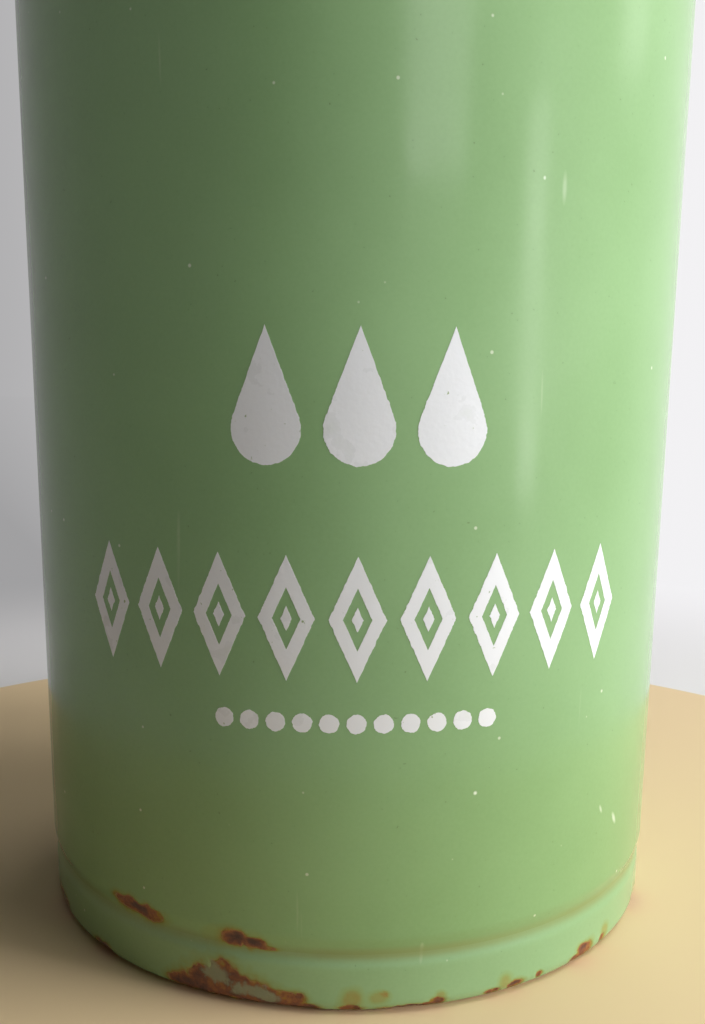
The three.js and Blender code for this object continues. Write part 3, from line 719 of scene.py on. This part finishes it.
def drawn(name, section, path, axis):
    """Pulls a closed section through the points of a flat path, all in metres. The section's points lie on
    the path's first point, square to it, and axis is the letter of the axis that the path turns about."""
    bpy.ops.object.select_all(action="DESELECT")
    bpy.ops.mesh.primitive_circle_add(vertices=len(section), radius=1)
    piece = bpy.context.object
    piece.name = name
    for vertex, point in zip(piece.data.vertices, section):
        vertex.co = point
    headings = []
    for index in range(len(path)):
        way = path[min(index + 1, len(path) - 1)] - path[max(index - 1, 0)]
        headings.append(math.atan2(way.z, way.y) if axis == "X" else math.atan2(way.y, way.x))
    bpy.ops.object.mode_set(mode="EDIT")
    bpy.ops.mesh.select_all(action="SELECT")
    for index in range(1, len(path)):
        step = path[index] - path[index - 1]
        bpy.ops.mesh.extrude_region_move(TRANSFORM_OT_translate={"value": step})
        turn = math.remainder(headings[index] - headings[index - 1], 2 * math.pi)
        bpy.ops.transform.rotate(value=-turn, orient_axis=axis, center_override=path[index])
    bpy.ops.mesh.edge_face_add()
    pick(piece, lambda vertex: vertex.index < len(section))
    bpy.ops.mesh.edge_face_add()
    closed()
    return piece


strap_line = [(STRAP_MIDDLE, STRAP_TOP_Z - 2 * row) for row in range(7)]
strap_line += arc((STRAP_MIDDLE + STRAP_BEND, 158), STRAP_BEND, 180, 270, 8)
strap_line += arc((76, 128), 22, 90, 0, 18)
strap_line += arc((64, 100), 34, 0, -STRAP_LEAN, 16)
# The lower leg runs straight at its lean until it meets the bend into the lower foot.
lean = math.radians(STRAP_LEAN)
run_out, run_z = strap_line[-1]
landing = STRAP_MIDDLE + STRAP_BEND * (1 - math.cos(lean))
foot_z = run_z - (run_out - landing) / math.tan(lean) - STRAP_BEND * math.sin(lean)
strap_line += arc((STRAP_MIDDLE + STRAP_BEND, foot_z), STRAP_BEND, 180 - STRAP_LEAN, 180, 7)
strap_line += [(STRAP_MIDDLE, foot_z - 2 * row) for row in range(1, 8)]
strap_path = [Vector((0, out * MM, up * MM)) for out, up in strap_line]
strap_section = []
for step in range(56):
    turn = 2 * math.pi * step / 56
    across = STRAP_HALF_WIDTH * math.copysign(abs(math.cos(turn)) ** 0.2, math.cos(turn))
    through = STRAP_HALF_THICKNESS * math.copysign(abs(math.sin(turn)) ** 0.5, math.sin(turn))
    dish = STRAP_MIDDLE - math.sqrt(STRAP_MIDDLE ** 2 - across ** 2)
    strap_section.append(strap_path[0] + Vector((across, through - dish, 0)) * MM)
strap = drawn("strap", strap_section, strap_path, "X")
strap_welds = [(across, up) for across in (-5, 5) for up in (163.5, foot_z - 9)]
spot_welded(strap, strap_welds, -0.6, lambda vertex: vertex.co.y > (STRAP_MIDDLE - 0.2) * MM)
strap_chips = [
    (180, 76, 150.8, 5, 1.2, 0.35),
    (173.5, 97.5, 126, 2.4, 9, 0.8),
    (186, 98, 108, 2.2, 6, 0.7),
    (174.6, 99, 100, 2, 3.4, 0.5),
    (172, 61.5, 171.5, 3, 1.8, 0.8),
    (187, 62, foot_z - 12.5, 2.6, 2.4, 0.8),
    (184, 82, 70, 2.4, 3.2, 0.5),
]
chipped(strap, strap_chips, 0.12)
smoothed(strap, green_enamel, SHEET_CREASE)
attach(strap, "can")
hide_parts("rear_handle")


# Filler
# A threaded brass neck clamped in the shoulder's land by a hexagon nut inside, with a red fibre washer on
# each side of the sheet. A milled brass cap with a cork disc in it screws down on the neck.

NECK_BORE = 15.2
NECK_STEM = 17.2
NECK_ROOT = 18
NECK_LOW_Z = 197
NECK_RIM_Z = 222.1
NECK_THREAD_Z = 211
NECK_THREAD_LENGTH = 7
FLANGE_RADIUS = 24.5
FLANGE_LOW_Z = 207
FLANGE_HIGH_Z = 208.6
WASHER_RADIUS = 23.5
CORK_RADIUS = 18.6
CORK_LOW_Z = 222.4
CORK_HIGH_Z = 225.1
CAP_RADIUS = 22.5
CAP_BORE = 19.5
CAP_LOW_Z = 209.2
CAP_TOP_Z = 227.4
TURNED_CREASE = 40


def threaded(piece, root, depth, pitch, start, length):
    """Raises a right-hand thread on the rows of a turned piece between two heights, all in millimetres."""
    for vertex in piece.data.vertices:
        radius = vertex.co.xy.length / MM
        up = vertex.co.z / MM - start
        if abs(radius - root) > 0.3 or not 0 <= up <= length:
            continue
        share = (up / pitch - math.atan2(vertex.co.y, vertex.co.x) / (2 * math.pi)) % 1
        ridge = min(1, max(0, 1.35 - 2.7 * abs(share - 0.5))) * min(1, up / 0.8, (length - up) / 0.8)
        vertex.co.xy *= (radius + depth * ridge) / radius


def milled(piece, radius, depth, flutes, low, high):
    """Presses flutes into a turned piece's outer face between two heights, in millimetres."""
    for vertex in piece.data.vertices:
        away = vertex.co.xy.length / MM
        if away < radius - 1.4:
            continue
        up = vertex.co.z / MM
        fade = min(1, max(0, (up - low) / 1.2), max(0, (high - up) / 1.2))
        hollow = 0.5 - 0.5 * math.cos(flutes * math.atan2(vertex.co.y, vertex.co.x))
        vertex.co.xy *= (away - depth * fade * hollow ** 0.7) / away


def aged_brass(name, origin, tilt):
    """Turned brass gone brown with handling: fine rings from the lathe, dark tarnish in blotches and a
    brighter rub where fingers go. Origin, in metres, and tilt give the turning axis."""
    brass, tree, shader, place = begun(name)
    axis = {"Location": origin, "Rotation": (tilt, 0, 0)}
    place = node(tree, "Mapping", {"Vector": place, **axis}, vector_type="TEXTURE")
    blotches = {"Scale": 1 / (9 * MM), "Detail": 5.0, "Roughness": 0.6}
    blotch = node(tree, "TexNoise", {"Vector": place, **blotches})
    dull = node(tree, "MapRange", {0: blotch, 1: 0.38, 2: 0.66})
    metal = node(tree, "Mix", {0: dull, 6: linear("#cba763"), 7: linear("#977741")}, data_type="RGBA")
    spots = node(tree, "TexNoise", {"Vector": place, "Scale": 1 / (1.4 * MM), "Detail": 3.0})
    spots = node(tree, "MapRange", {0: spots, 1: 0.64, 2: 0.76, 4: 0.6})
    metal = node(tree, "Mix", {0: spots, 6: metal, 7: linear("#4a3a22")}, data_type="RGBA")
    rough = node(tree, "MapRange", {0: blotch, 1: 0.3, 2: 0.7, 3: 0.28, 4: 0.5})
    # Lathe rings 0.6 mm apart, drawn coarser than the real feed so that they show.
    feed_rings = {"Scale": math.pi / 10 / (0.6 * MM), "Distortion": 0.6}
    rings = node(tree, "TexWave", {"Vector": place, **feed_rings}, bands_direction="Z").outputs["Fac"]
    rings = node(tree, "Bump", {"Height": rings, "Distance": 0.015 * MM})
    dents = node(tree, "Bump", {"Height": blotch, "Distance": 0.1 * MM, "Normal": rings})
    feed(tree, shader, {"Base Color": metal, "Metallic": 1.0, "Roughness": rough, "Normal": dents})
    return brass


filler_brass = aged_brass("aged_brass_filler", (0, 0, 0), 0)

neck_outline = rounded([(NECK_BORE, NECK_LOW_Z, 0), (NECK_STEM, NECK_LOW_Z, 0.4), (NECK_STEM, 206.9, 0)])
neck_outline += rounded(
    [
        (NECK_STEM, FLANGE_LOW_Z, 0),
        (FLANGE_RADIUS, FLANGE_LOW_Z, 0.4),
        (FLANGE_RADIUS, FLANGE_HIGH_Z, 0.6),
        (NECK_ROOT, FLANGE_HIGH_Z, 0.4),
        (NECK_ROOT, NECK_THREAD_Z, 0),
    ]
)
neck_outline += [(NECK_ROOT, NECK_THREAD_Z + NECK_THREAD_LENGTH * row / 20) for row in range(1, 21)]
neck_rim = [(NECK_ROOT, NECK_RIM_Z, 0.8), (NECK_BORE, NECK_RIM_Z, 0.5)]
neck_outline += rounded([(NECK_ROOT, 218.2, 0), *neck_rim, (NECK_BORE, NECK_LOW_Z, 0)])[:-1]
neck = turned("neck", neck_outline, 128)
threaded(neck, NECK_ROOT, 1, 3.5, NECK_THREAD_Z, NECK_THREAD_LENGTH)
smoothed(neck, filler_brass, TURNED_CREASE)
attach(neck, "can")
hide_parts("filler_neck")

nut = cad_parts["neck_nut"]
nut.data.materials.clear()
nut.data.materials.append(filler_brass)

# Vulcanised fibre: dense red-brown board with a faint fleck.
fibre, tree, shader, place = begun("vulcanised_fibre")
fleck = node(tree, "TexNoise", {"Vector": place, "Scale": 1 / (1.2 * MM), "Detail": 4.0})
red = node(tree, "Mix", {0: fleck, 6: linear("#8a3d2c"), 7: linear("#63291e")}, data_type="RGBA")
board = node(tree, "Bump", {"Height": fleck, "Distance": 0.05 * MM})
feed(tree, shader, {"Base Color": red, "Roughness": 0.62, "Normal": board})
for name, node_name, low, high in (
    ("washer_outer", "neck_washer_outer", LAND_Z, FLANGE_LOW_Z),
    ("washer_inner", "neck_washer_inner", 203.1, 204.3),
):
    rim = [(WASHER_RADIUS, low, 0.3), (WASHER_RADIUS, high, 0.3)]
    washer = turned(name, rounded([(NECK_HOLE, low, 0.2), *rim, (NECK_HOLE, high, 0.2)]), 96)
    smoothed(washer, fibre, TURNED_CREASE)
    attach(washer, "can")
    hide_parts(node_name)

cork_rim = [(CORK_RADIUS, CORK_LOW_Z, 0.5), (CORK_RADIUS, CORK_HIGH_Z, 0.5)]
cork_disc = turned("cork_disc", rounded([(0, CORK_LOW_Z, 0), *cork_rim, (0, CORK_HIGH_Z, 0)]), 96)
# Pressed cork: tan granules of about 1.5 mm with dark gaps between them.
cork, tree, shader, place = begun("pressed_cork")
granules = node(tree, "TexVoronoi", {"Vector": place, "Scale": 1 / (1.5 * MM)})
tan = node(tree, "ValToRGB", {0: granules})
stops(tan, {0.2: "#c99a66", 0.55: "#a9784a", 0.85: "#5d4128"})
crumb = node(tree, "Bump", {"Height": granules, "Distance": 0.2 * MM}, invert=True)
feed(tree, shader, {"Base Color": tan, "Roughness": 0.85, "Normal": crumb})
smoothed(cork_disc, cork, TURNED_CREASE)
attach(cork_disc, "filler_seal")
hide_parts("filler_gasket")

cap_outline = rounded(
    [
        (0, 225.4, 0),
        (CAP_BORE, 225.4, 0.6),
        (CAP_BORE, CAP_LOW_Z, 0.4),
        (CAP_RADIUS - 0.4, CAP_LOW_Z, 0.5),
        (CAP_RADIUS, 210, 0),
    ]
)
cap_outline += [(CAP_RADIUS, CAP_LOW_Z + 1.2 + 13.2 * row / 10) for row in range(11)]
cap_outline += rounded(
    [
        (CAP_RADIUS, 224, 0),
        (CAP_RADIUS, 226.3, 1.2),
        (18.6, 226.9, 0.6),
        (17.6, 226.5, 0.4),
        (16.4, 226.5, 0.4),
        (15.6, 227, 0.5),
        (6, CAP_TOP_Z, 3),
        (0, CAP_TOP_Z, 0),
    ]
)[1:]
cap = turned("cap", cap_outline, 192)
milled(cap, CAP_RADIUS, 0.85, 16, 209.8, 225.6)
smoothed(cap, filler_brass, TURNED_CREASE)
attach(cap, "filler_lid")
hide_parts("filler_cap")


# Spout
# A tapered steel tube welded over the hole in the shoulder, flared at its root and enamelled with the can.
# On its tip sits a threaded brass ferrule, closed by a small milled brass cap with a leather disc in it.

TUBE_LOW = 10.5
TUBE_HIGH = 78
TUBE_END = 89
TUBE_ROOT_RADIUS = 12.2
TUBE_TIP_RADIUS = 7
FERRULE_ROOT = 6.8
FERRULE_BORE = 5
FERRULE_SLEEVE = 8.4
FERRULE_COLLAR = 9.4
FERRULE_SEAT = 91
FERRULE_RIM = 100.6
FERRULE_THREAD = 92.6
FERRULE_THREAD_LENGTH = 6
LEATHER_RADIUS = 7.4
LEATHER_LOW = 100.9
LEATHER_HIGH = 103.1
TIP_RADIUS = 10.4
TIP_BORE = 8.1
TIP_LOW = 91.6


def placed(piece, location, rotation):
    """Sets a piece that was made at the origin in its place, in metres, and keeps that place in its mesh."""
    taken(piece)
    piece.location = location
    piece.rotation_euler = rotation
    bpy.ops.object.transform_apply(location=True, rotation=True)


def tilted(piece):
    """Sets a piece that was turned upright about the origin on the spout's axis."""
    placed(piece, SPOUT_ROOT * MM, (SPOUT_TILT, 0, 0))


def on_shoulder(across, along):
    """Distance up the spout's axis at which a line beside it leaves the shoulder, in millimetres."""
    low, high = -12.0, 12.0
    for halving in range(24):
        middle = (low + high) / 2
        y = SPOUT_ROOT.y + along * math.cos(SPOUT_TILT) - middle * math.sin(SPOUT_TILT)
        z = SPOUT_ROOT.z + along * math.sin(SPOUT_TILT) + middle * math.cos(SPOUT_TILT)
        if z > shoulder_height(math.hypot(across, y)):
            high = middle
        else:
            low = middle
    return low


tube_outline = [(16.9, -0.1), (16.0, 0.25), (15.2, 0.8), (14.5, 1.6)]
tube_outline += [(13.9, 2.7), (13.4, 4.0), (12.9, 5.8), (12.5, 8)]
for row in range(73):
    radius = TUBE_ROOT_RADIUS - (TUBE_ROOT_RADIUS - TUBE_TIP_RADIUS) * row / 72
    tube_outline.append((radius, TUBE_LOW + (TUBE_HIGH - TUBE_LOW) * row / 72))
tube_outline += [(TUBE_TIP_RADIUS, 82), (TUBE_TIP_RADIUS, TUBE_END), (TUBE_TIP_RADIUS - SHEET, TUBE_END)]
tube_outline += [(TUBE_TIP_RADIUS - SHEET, TUBE_HIGH), (11.1, TUBE_LOW), (11.6, 4), (11.9, 0.2), (12.1, -0.1)]
tube = turned("tube", tube_outline, 160)
for vertex in tube.data.vertices:
    lift = on_shoulder(vertex.co.x / MM, vertex.co.y / MM)
    vertex.co.z += lift * s_curve((TUBE_LOW - vertex.co.z / MM) / 8) * MM
tilted(tube)
tube_chips = [
    (0, 54, 193.5, 3, 1.6, 0.6),
    (-22, 45, 199, 2, 2, 0.4),
    (4, 86, 259, 2.2, 3.4, 0.6),
    (178, 20, 214, 3, 2, 0.3),
    (20, 60, 209, 2, 2.4, 0.4),
]
chipped(tube, tube_chips, 0.12)
smoothed(tube, green_enamel, SHEET_CREASE)
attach(tube, "can")
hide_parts("spout_tube")

spout_brass = aged_brass("aged_brass_spout", SPOUT_ROOT * MM, SPOUT_TILT)
ferrule_outline = rounded(
    [
        (7.1, 80, 0),
        (FERRULE_SLEEVE, 80, 0.4),
        (FERRULE_SLEEVE, TUBE_END, 0.4),
        (FERRULE_COLLAR, TUBE_END, 0.4),
        (FERRULE_COLLAR, FERRULE_SEAT, 0.4),
        (FERRULE_ROOT, FERRULE_SEAT, 0),
    ]
)
ferrule_outline += [(FERRULE_ROOT, FERRULE_THREAD + FERRULE_THREAD_LENGTH * row / 20) for row in range(21)]
ferrule_outline += rounded(
    [
        (FERRULE_ROOT, 98.8, 0),
        (FERRULE_ROOT, FERRULE_RIM, 0.5),
        (FERRULE_BORE, FERRULE_RIM, 0.4),
        (FERRULE_BORE, TUBE_END + 0.2, 0),
        (7.1, TUBE_END + 0.2, 0),
    ]
)
ferrule = turned("ferrule", ferrule_outline, 96)
threaded(ferrule, FERRULE_ROOT, 0.8, 2.5, FERRULE_THREAD, FERRULE_THREAD_LENGTH)
tilted(ferrule)
smoothed(ferrule, spout_brass, TURNED_CREASE)
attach(ferrule, "can")
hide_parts("spout_nozzle")

leather_rim = [(LEATHER_RADIUS, LEATHER_LOW, 0.4), (LEATHER_RADIUS, LEATHER_HIGH, 0.4)]
leather_disc = turned("leather_disc", rounded([(0, LEATHER_LOW, 0), *leather_rim, (0, LEATHER_HIGH, 0)]), 64)
tilted(leather_disc)
# Oiled leather: near-black brown with a fine pebble of about 0.6 mm.
leather, tree, shader, place = begun("oiled_leather")
pebble = node(tree, "TexVoronoi", {"Vector": place, "Scale": 1 / (0.6 * MM)})
hide = node(tree, "Mix", {0: pebble, 6: linear("#5b4130"), 7: linear("#35251b")}, data_type="RGBA")
pores = node(tree, "Bump", {"Height": pebble, "Distance": 0.08 * MM}, invert=True)
feed(tree, shader, {"Base Color": hide, "Roughness": 0.55, "Normal": pores})
smoothed(leather_disc, leather, TURNED_CREASE)
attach(leather_disc, "spout_seal")
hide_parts("spout_cap_washer")

tip_outline = rounded(
    [
        (0, 103.4, 0),
        (TIP_BORE, 103.4, 0.4),
        (TIP_BORE, TIP_LOW, 0.3),
        (TIP_RADIUS - 0.3, TIP_LOW, 0.4),
        (TIP_RADIUS, 92.3, 0),
    ]
)
tip_outline += [(TIP_RADIUS, TIP_LOW + 1.2 + 9.6 * row / 8) for row in range(9)]
tip_outline += rounded([(TIP_RADIUS, 102.8, 0), (TIP_RADIUS, 104.2, 0.9), (7.4, 104.7, 0.8), (0, 105, 0)])[1:]
tip_cap = turned("tip_cap", tip_outline, 144)
milled(tip_cap, TIP_RADIUS, 0.6, 12, 92.2, 103.6)
tilted(tip_cap)
smoothed(tip_cap, spout_brass, TURNED_CREASE)
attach(tip_cap, "spout_lid")
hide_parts("spout_cap")


# Bail
# A swinging carrying handle of 4.5 mm drawn steel wire, hooked through the two ears from outside, with a
# turned beech roller threaded on its middle before the wire was bent. At rest it lies on the rear handle.

BAIL_DROP = math.radians(-23.6596)
BAIL_REACH = 105
WIRE_RADIUS = 2.25
WIRE_SIDE = 68.5
GRIP_HALF = 42
GRIP_BORE = 2.75
GRIP_RINGS = (31, 34)


def hung(piece):
    """Drops a piece made flat, with the pivot at the origin, to the bail's rest angle at the ears."""
    placed(piece, (0, 0, PIVOT_Z * MM), (BAIL_DROP, 0, 0))


wire_half = [(56.1, 7.5), (56.1, 6)] + arc((59.6, 3.5), 3.5, 180, 270, 8)
wire_half += arc((WIRE_SIDE - 5, 5), 5, -90, 0, 8)
wire_half += [(WIRE_SIDE, 30), (WIRE_SIDE, 60)] + arc((WIRE_SIDE - 22, BAIL_REACH - 22), 22, 0, 90, 16)
wire_line = wire_half + [(-across, along) for across, along in reversed(wire_half)]
wire_path = [Vector((across * MM, along * MM, 0)) for across, along in wire_line]
wire_section = []
for step in range(24):
    turn = 2 * math.pi * step / 24
    wire_section.append(wire_path[0] + Vector((math.cos(turn), 0, math.sin(turn))) * WIRE_RADIUS * MM)
wire = drawn("wire", wire_section, wire_path, "Z")
bevelled(wire, 0.5, 60)
hung(wire)
# Drawn steel wire: grey and dull, with freckles of rust where hands don't rub it clean.
steel, tree, shader, place = begun("drawn_steel")
skin = node(tree, "TexNoise", {"Vector": place, "Scale": 1 / (12 * MM), "Detail": 5.0, "Roughness": 0.6})
grey = node(tree, "Mix", {0: skin, 6: linear("#a3a29c"), 7: linear("#6f6c66")}, data_type="RGBA")
freckles = node(tree, "TexNoise", {"Vector": place, "Scale": 1 / (2.2 * MM), "Detail": 4.0})
rusted = node(tree, "MapRange", {0: freckles, 1: 0.6, 2: 0.72})
grey = node(tree, "Mix", {0: rusted, 6: grey, 7: linear("#6b4a2f")}, data_type="RGBA")
shine = node(tree, "MapRange", {0: rusted, 3: 1.0, 4: 0.2})
rough = node(tree, "MapRange", {0: skin, 1: 0.3, 2: 0.7, 3: 0.34, 4: 0.52})
scale = node(tree, "Bump", {"Height": freckles, "Distance": 0.06 * MM})
feed(tree, shader, {"Base Color": grey, "Metallic": shine, "Roughness": rough, "Normal": scale})
smoothed(wire, steel, TURNED_CREASE)
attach(wire, "bail")
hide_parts("bail_wire")

grip_end = [(GRIP_BORE, GRIP_HALF), (6.6, GRIP_HALF), (7.2, 41.8), (7.7, 41.3), (8.05, 40.6)]
grip_outline = [(radius, -along) for radius, along in grip_end]
for row in range(-52, 53):
    share = 0.95 * row / 52
    along = share * GRIP_HALF
    swell = 8 + 3 * math.cos(math.pi / 2 * share)
    groove = sum(0.45 * max(0, 1 - abs(abs(along) - ring) / 0.55) for ring in GRIP_RINGS)
    grip_outline.append((swell - groove, along))
grip_outline += reversed(grip_end)
grip = turned("grip", grip_outline, 96)
placed(grip, (0, BAIL_REACH * MM, 0), (0, math.pi / 2, 0))
hung(grip)
# Turned beech, oiled: warm tan with short dark flecks along the grain, and darker where hands have held it.
beech, tree, shader, place = begun("turned_beech")
grain = node(tree, "Mapping", {"Vector": place, "Scale": (1 / (50 * MM), 1 / (2.2 * MM), 1 / (2.2 * MM))})
grain = node(tree, "TexNoise", {"Vector": grain, "Scale": 1.0, "Detail": 3.0})
wood = node(tree, "ValToRGB", {0: grain})
stops(wood, {0.3: "#a9743f", 0.5: "#c08d55", 0.7: "#cf9f67"})
pores = node(tree, "Mapping", {"Vector": place, "Scale": (1 / (3.5 * MM), 1 / (0.5 * MM), 1 / (0.5 * MM))})
pores = node(tree, "TexNoise", {"Vector": pores, "Scale": 1.0, "Detail": 1.0})
flecks = node(tree, "MapRange", {0: pores, 1: 0.62, 2: 0.72, 4: 0.6})
sideways = node(tree, "SeparateXYZ", {0: place}).outputs["X"]
sideways = node(tree, "Math", {0: sideways}, operation="ABSOLUTE")
palm = {1: 36 * MM, 2: 8 * MM, 4: 0.45}
held = node(tree, "MapRange", {0: sideways, **palm}, interpolation_type="SMOOTHSTEP")
hands = node(tree, "TexNoise", {"Vector": place, "Scale": 1 / (14 * MM), "Detail": 3.0})
held = node(tree, "Math", {0: held, 1: hands}, operation="MULTIPLY")
# The two rings cut at each end are burnt dark.
burnt = sideways
for offset in (sum(GRIP_RINGS) / 2, (GRIP_RINGS[1] - GRIP_RINGS[0]) / 2):
    burnt = node(tree, "Math", {0: burnt, 1: offset * MM}, operation="SUBTRACT")
    burnt = node(tree, "Math", {0: burnt}, operation="ABSOLUTE")
burnt = node(tree, "MapRange", {0: burnt, 1: 0.6 * MM, 2: 0.2 * MM, 4: 0.8})
for share, colour in ((flecks, "#7a4e29"), (held, "#5e3c22"), (burnt, "#38261a")):
    wood = node(tree, "Mix", {0: share, 6: wood, 7: linear(colour)}, data_type="RGBA")
worn = node(tree, "MapRange", {0: hands, 1: 0.3, 2: 0.7, 3: 0.38, 4: 0.58})
open_grain = node(tree, "Bump", {"Height": pores, "Distance": 0.08 * MM}, invert=True)
feed(tree, shader, {"Base Color": wood, "Roughness": worn, "Normal": open_grain})
smoothed(grip, beech, TURNED_CREASE)
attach(grip, "grip")
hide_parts("bail_grip")


# Studio
# A round tan board on a pale floor, in a pale surround that is brighter on the right, as from a window there.
# Large soft lights stand on that side, weaker ones behind and above. The camera is close in front.

BOARD_RADIUS = 0.165
SURROUND_COLOUR = "#f7f6f8"
LIT_POINT = Vector((0, 0, 0.1))


def surround(tree, way):
    """The pale surround's brightness towards a direction, and whether the ray at hand shows it."""
    right = node(tree, "SeparateXYZ", {0: way}).outputs["X"]
    shown = node(tree, "MapRange", {0: right, 1: -0.4, 2: 0.3, 3: 0.38, 4: 0.96})
    ray = node(tree, "LightPath", {}).outputs
    seen = node(tree, "Math", {0: ray["Is Camera Ray"], 1: ray["Is Glossy Ray"]}, operation="MAXIMUM")
    seen = node(tree, "Math", {0: seen, 1: ray["Is Transmission Ray"]}, operation="MAXIMUM")
    return shown, seen


bpy.ops.object.select_all(action="DESELECT")
bpy.ops.mesh.primitive_circle_add(vertices=96, radius=6, fill_type="NGON")
floor = bpy.context.object
floor.name = "floor"
# Matt paper, tan on the board and near white round it. Far off it glows like the surround, a painted light
# that is brighter on the right, for camera, mirror and glass rays, so that no dark floor shows behind the
# can.
paper, tree, shader, place = begun("pale_paper")
away = node(tree, "VectorMath", {0: place}, operation="LENGTH")
outside = node(tree, "MapRange", {0: away, 1: BOARD_RADIUS - 0.5 * MM, 2: BOARD_RADIUS + 0.5 * MM})
sheet = node(tree, "Mix", {0: outside, 6: linear("#eed3a8"), 7: linear("#efedee")}, data_type="RGBA")
feed(tree, shader, {"Base Color": sheet, "Roughness": 0.75})
shown, seen = surround(tree, node(tree, "VectorMath", {0: place}, operation="NORMALIZE"))
far = node(tree, "MapRange", {0: away, 1: BOARD_RADIUS, 2: 0.35}, interpolation_type="SMOOTHSTEP")
far = node(tree, "Math", {0: far, 1: seen}, operation="MULTIPLY")
glow = node(tree, "Emission", {"Color": linear(SURROUND_COLOUR), "Strength": shown})
blend = node(tree, "MixShader", {0: far, 1: shader, 2: glow})
feed(tree, tree.nodes["Material Output"], {"Surface": blend})
floor.data.materials.append(paper)

world = bpy.data.worlds.new("surround")
bpy.context.scene.world = world
world.use_nodes = True
tree = world.node_tree
tree.nodes.clear()
shown, seen = surround(tree, node(tree, "TexCoord", {}).outputs["Generated"])
light = node(tree, "Background", {"Color": linear("#ffe9cc"), "Strength": 0.02})
backdrop = node(tree, "Background", {"Color": linear(SURROUND_COLOUR), "Strength": shown})
mixed = node(tree, "MixShader", {0: seen, 1: light, 2: backdrop})
node(tree, "OutputWorld", {0: mixed})

# The soft lights show no mirror image of their own in the glaze. The panes and strips are only its streaks.
for name, azimuth, height, distance, size, power, mirrored in (
    ("window_front", 55, 0.22, 0.85, (0.45, 0.4), 1.9, False),
    ("window_side", 75, 0.22, 0.85, (0.45, 0.4), 7.2, False),
    ("skylight", 80, 0.95, 0.5, (0.5, 0.5), 4.3, False),
    ("back_fill", 150, 0.5, 1.0, (0.8, 0.8), 3.4, False),
    ("top_fill", 0, 1.3, 0.001, (1.0, 1.0), 1.0, False),
    ("pane_front", 24, 0.445, 0.85, (0.3, 0.35), 0.6, True),
    ("pane_middle", 57, 0.165, 0.85, (0.11, 0.33), 0.32, True),
    ("pane_side", 96, 0.58, 0.85, (0.22, 0.44), 0.5, True),
    ("strip_right", 80, 1.1, 0.5, (0.6, 0.1), 1.0, True),
    ("strip_back", 215, 1.1, 0.5, (0.6, 0.1), 1.0, True),
):
    lamp = bpy.data.lights.new(name, "AREA")
    lamp.shape = "RECTANGLE"
    lamp.size, lamp.size_y = size
    lamp.energy = power
    holder = bpy.data.objects.new(name, lamp)
    bpy.context.scene.collection.objects.link(holder)
    holder.visible_camera = False
    holder.visible_glossy = mirrored
    holder.visible_diffuse = not mirrored
    turn = math.radians(azimuth)
    holder.location = (distance * math.sin(turn), -distance * math.cos(turn), height)
    holder.rotation_euler = (LIT_POINT - holder.location).to_track_quat("-Z", "Y").to_euler()

# The camera's place, pan, dip and roll are those at which the can's sides and foot lie as in the photograph.
CAMERA_PAN = -0.0225
CAMERA_DIP = 0.196
CAMERA_ROLL = 0.0099
lens = bpy.data.cameras.new("camera")
lens.sensor_width = 36
lens.lens = 36.838
lens.shift_y = 0.076
lens.clip_start = 0.01
camera = bpy.data.objects.new("camera", lens)
bpy.context.scene.collection.objects.link(camera)
camera.location = (-0.00418, -0.21007, 0.09907)
heading = Matrix.Rotation(CAMERA_PAN, 3, "Z") @ Matrix.Rotation(math.pi / 2 - CAMERA_DIP, 3, "X")
camera.rotation_euler = (heading @ Matrix.Rotation(CAMERA_ROLL, 3, "Z")).to_euler()
bpy.context.scene.camera = camera
bpy.context.scene.view_settings.view_transform = "Standard"
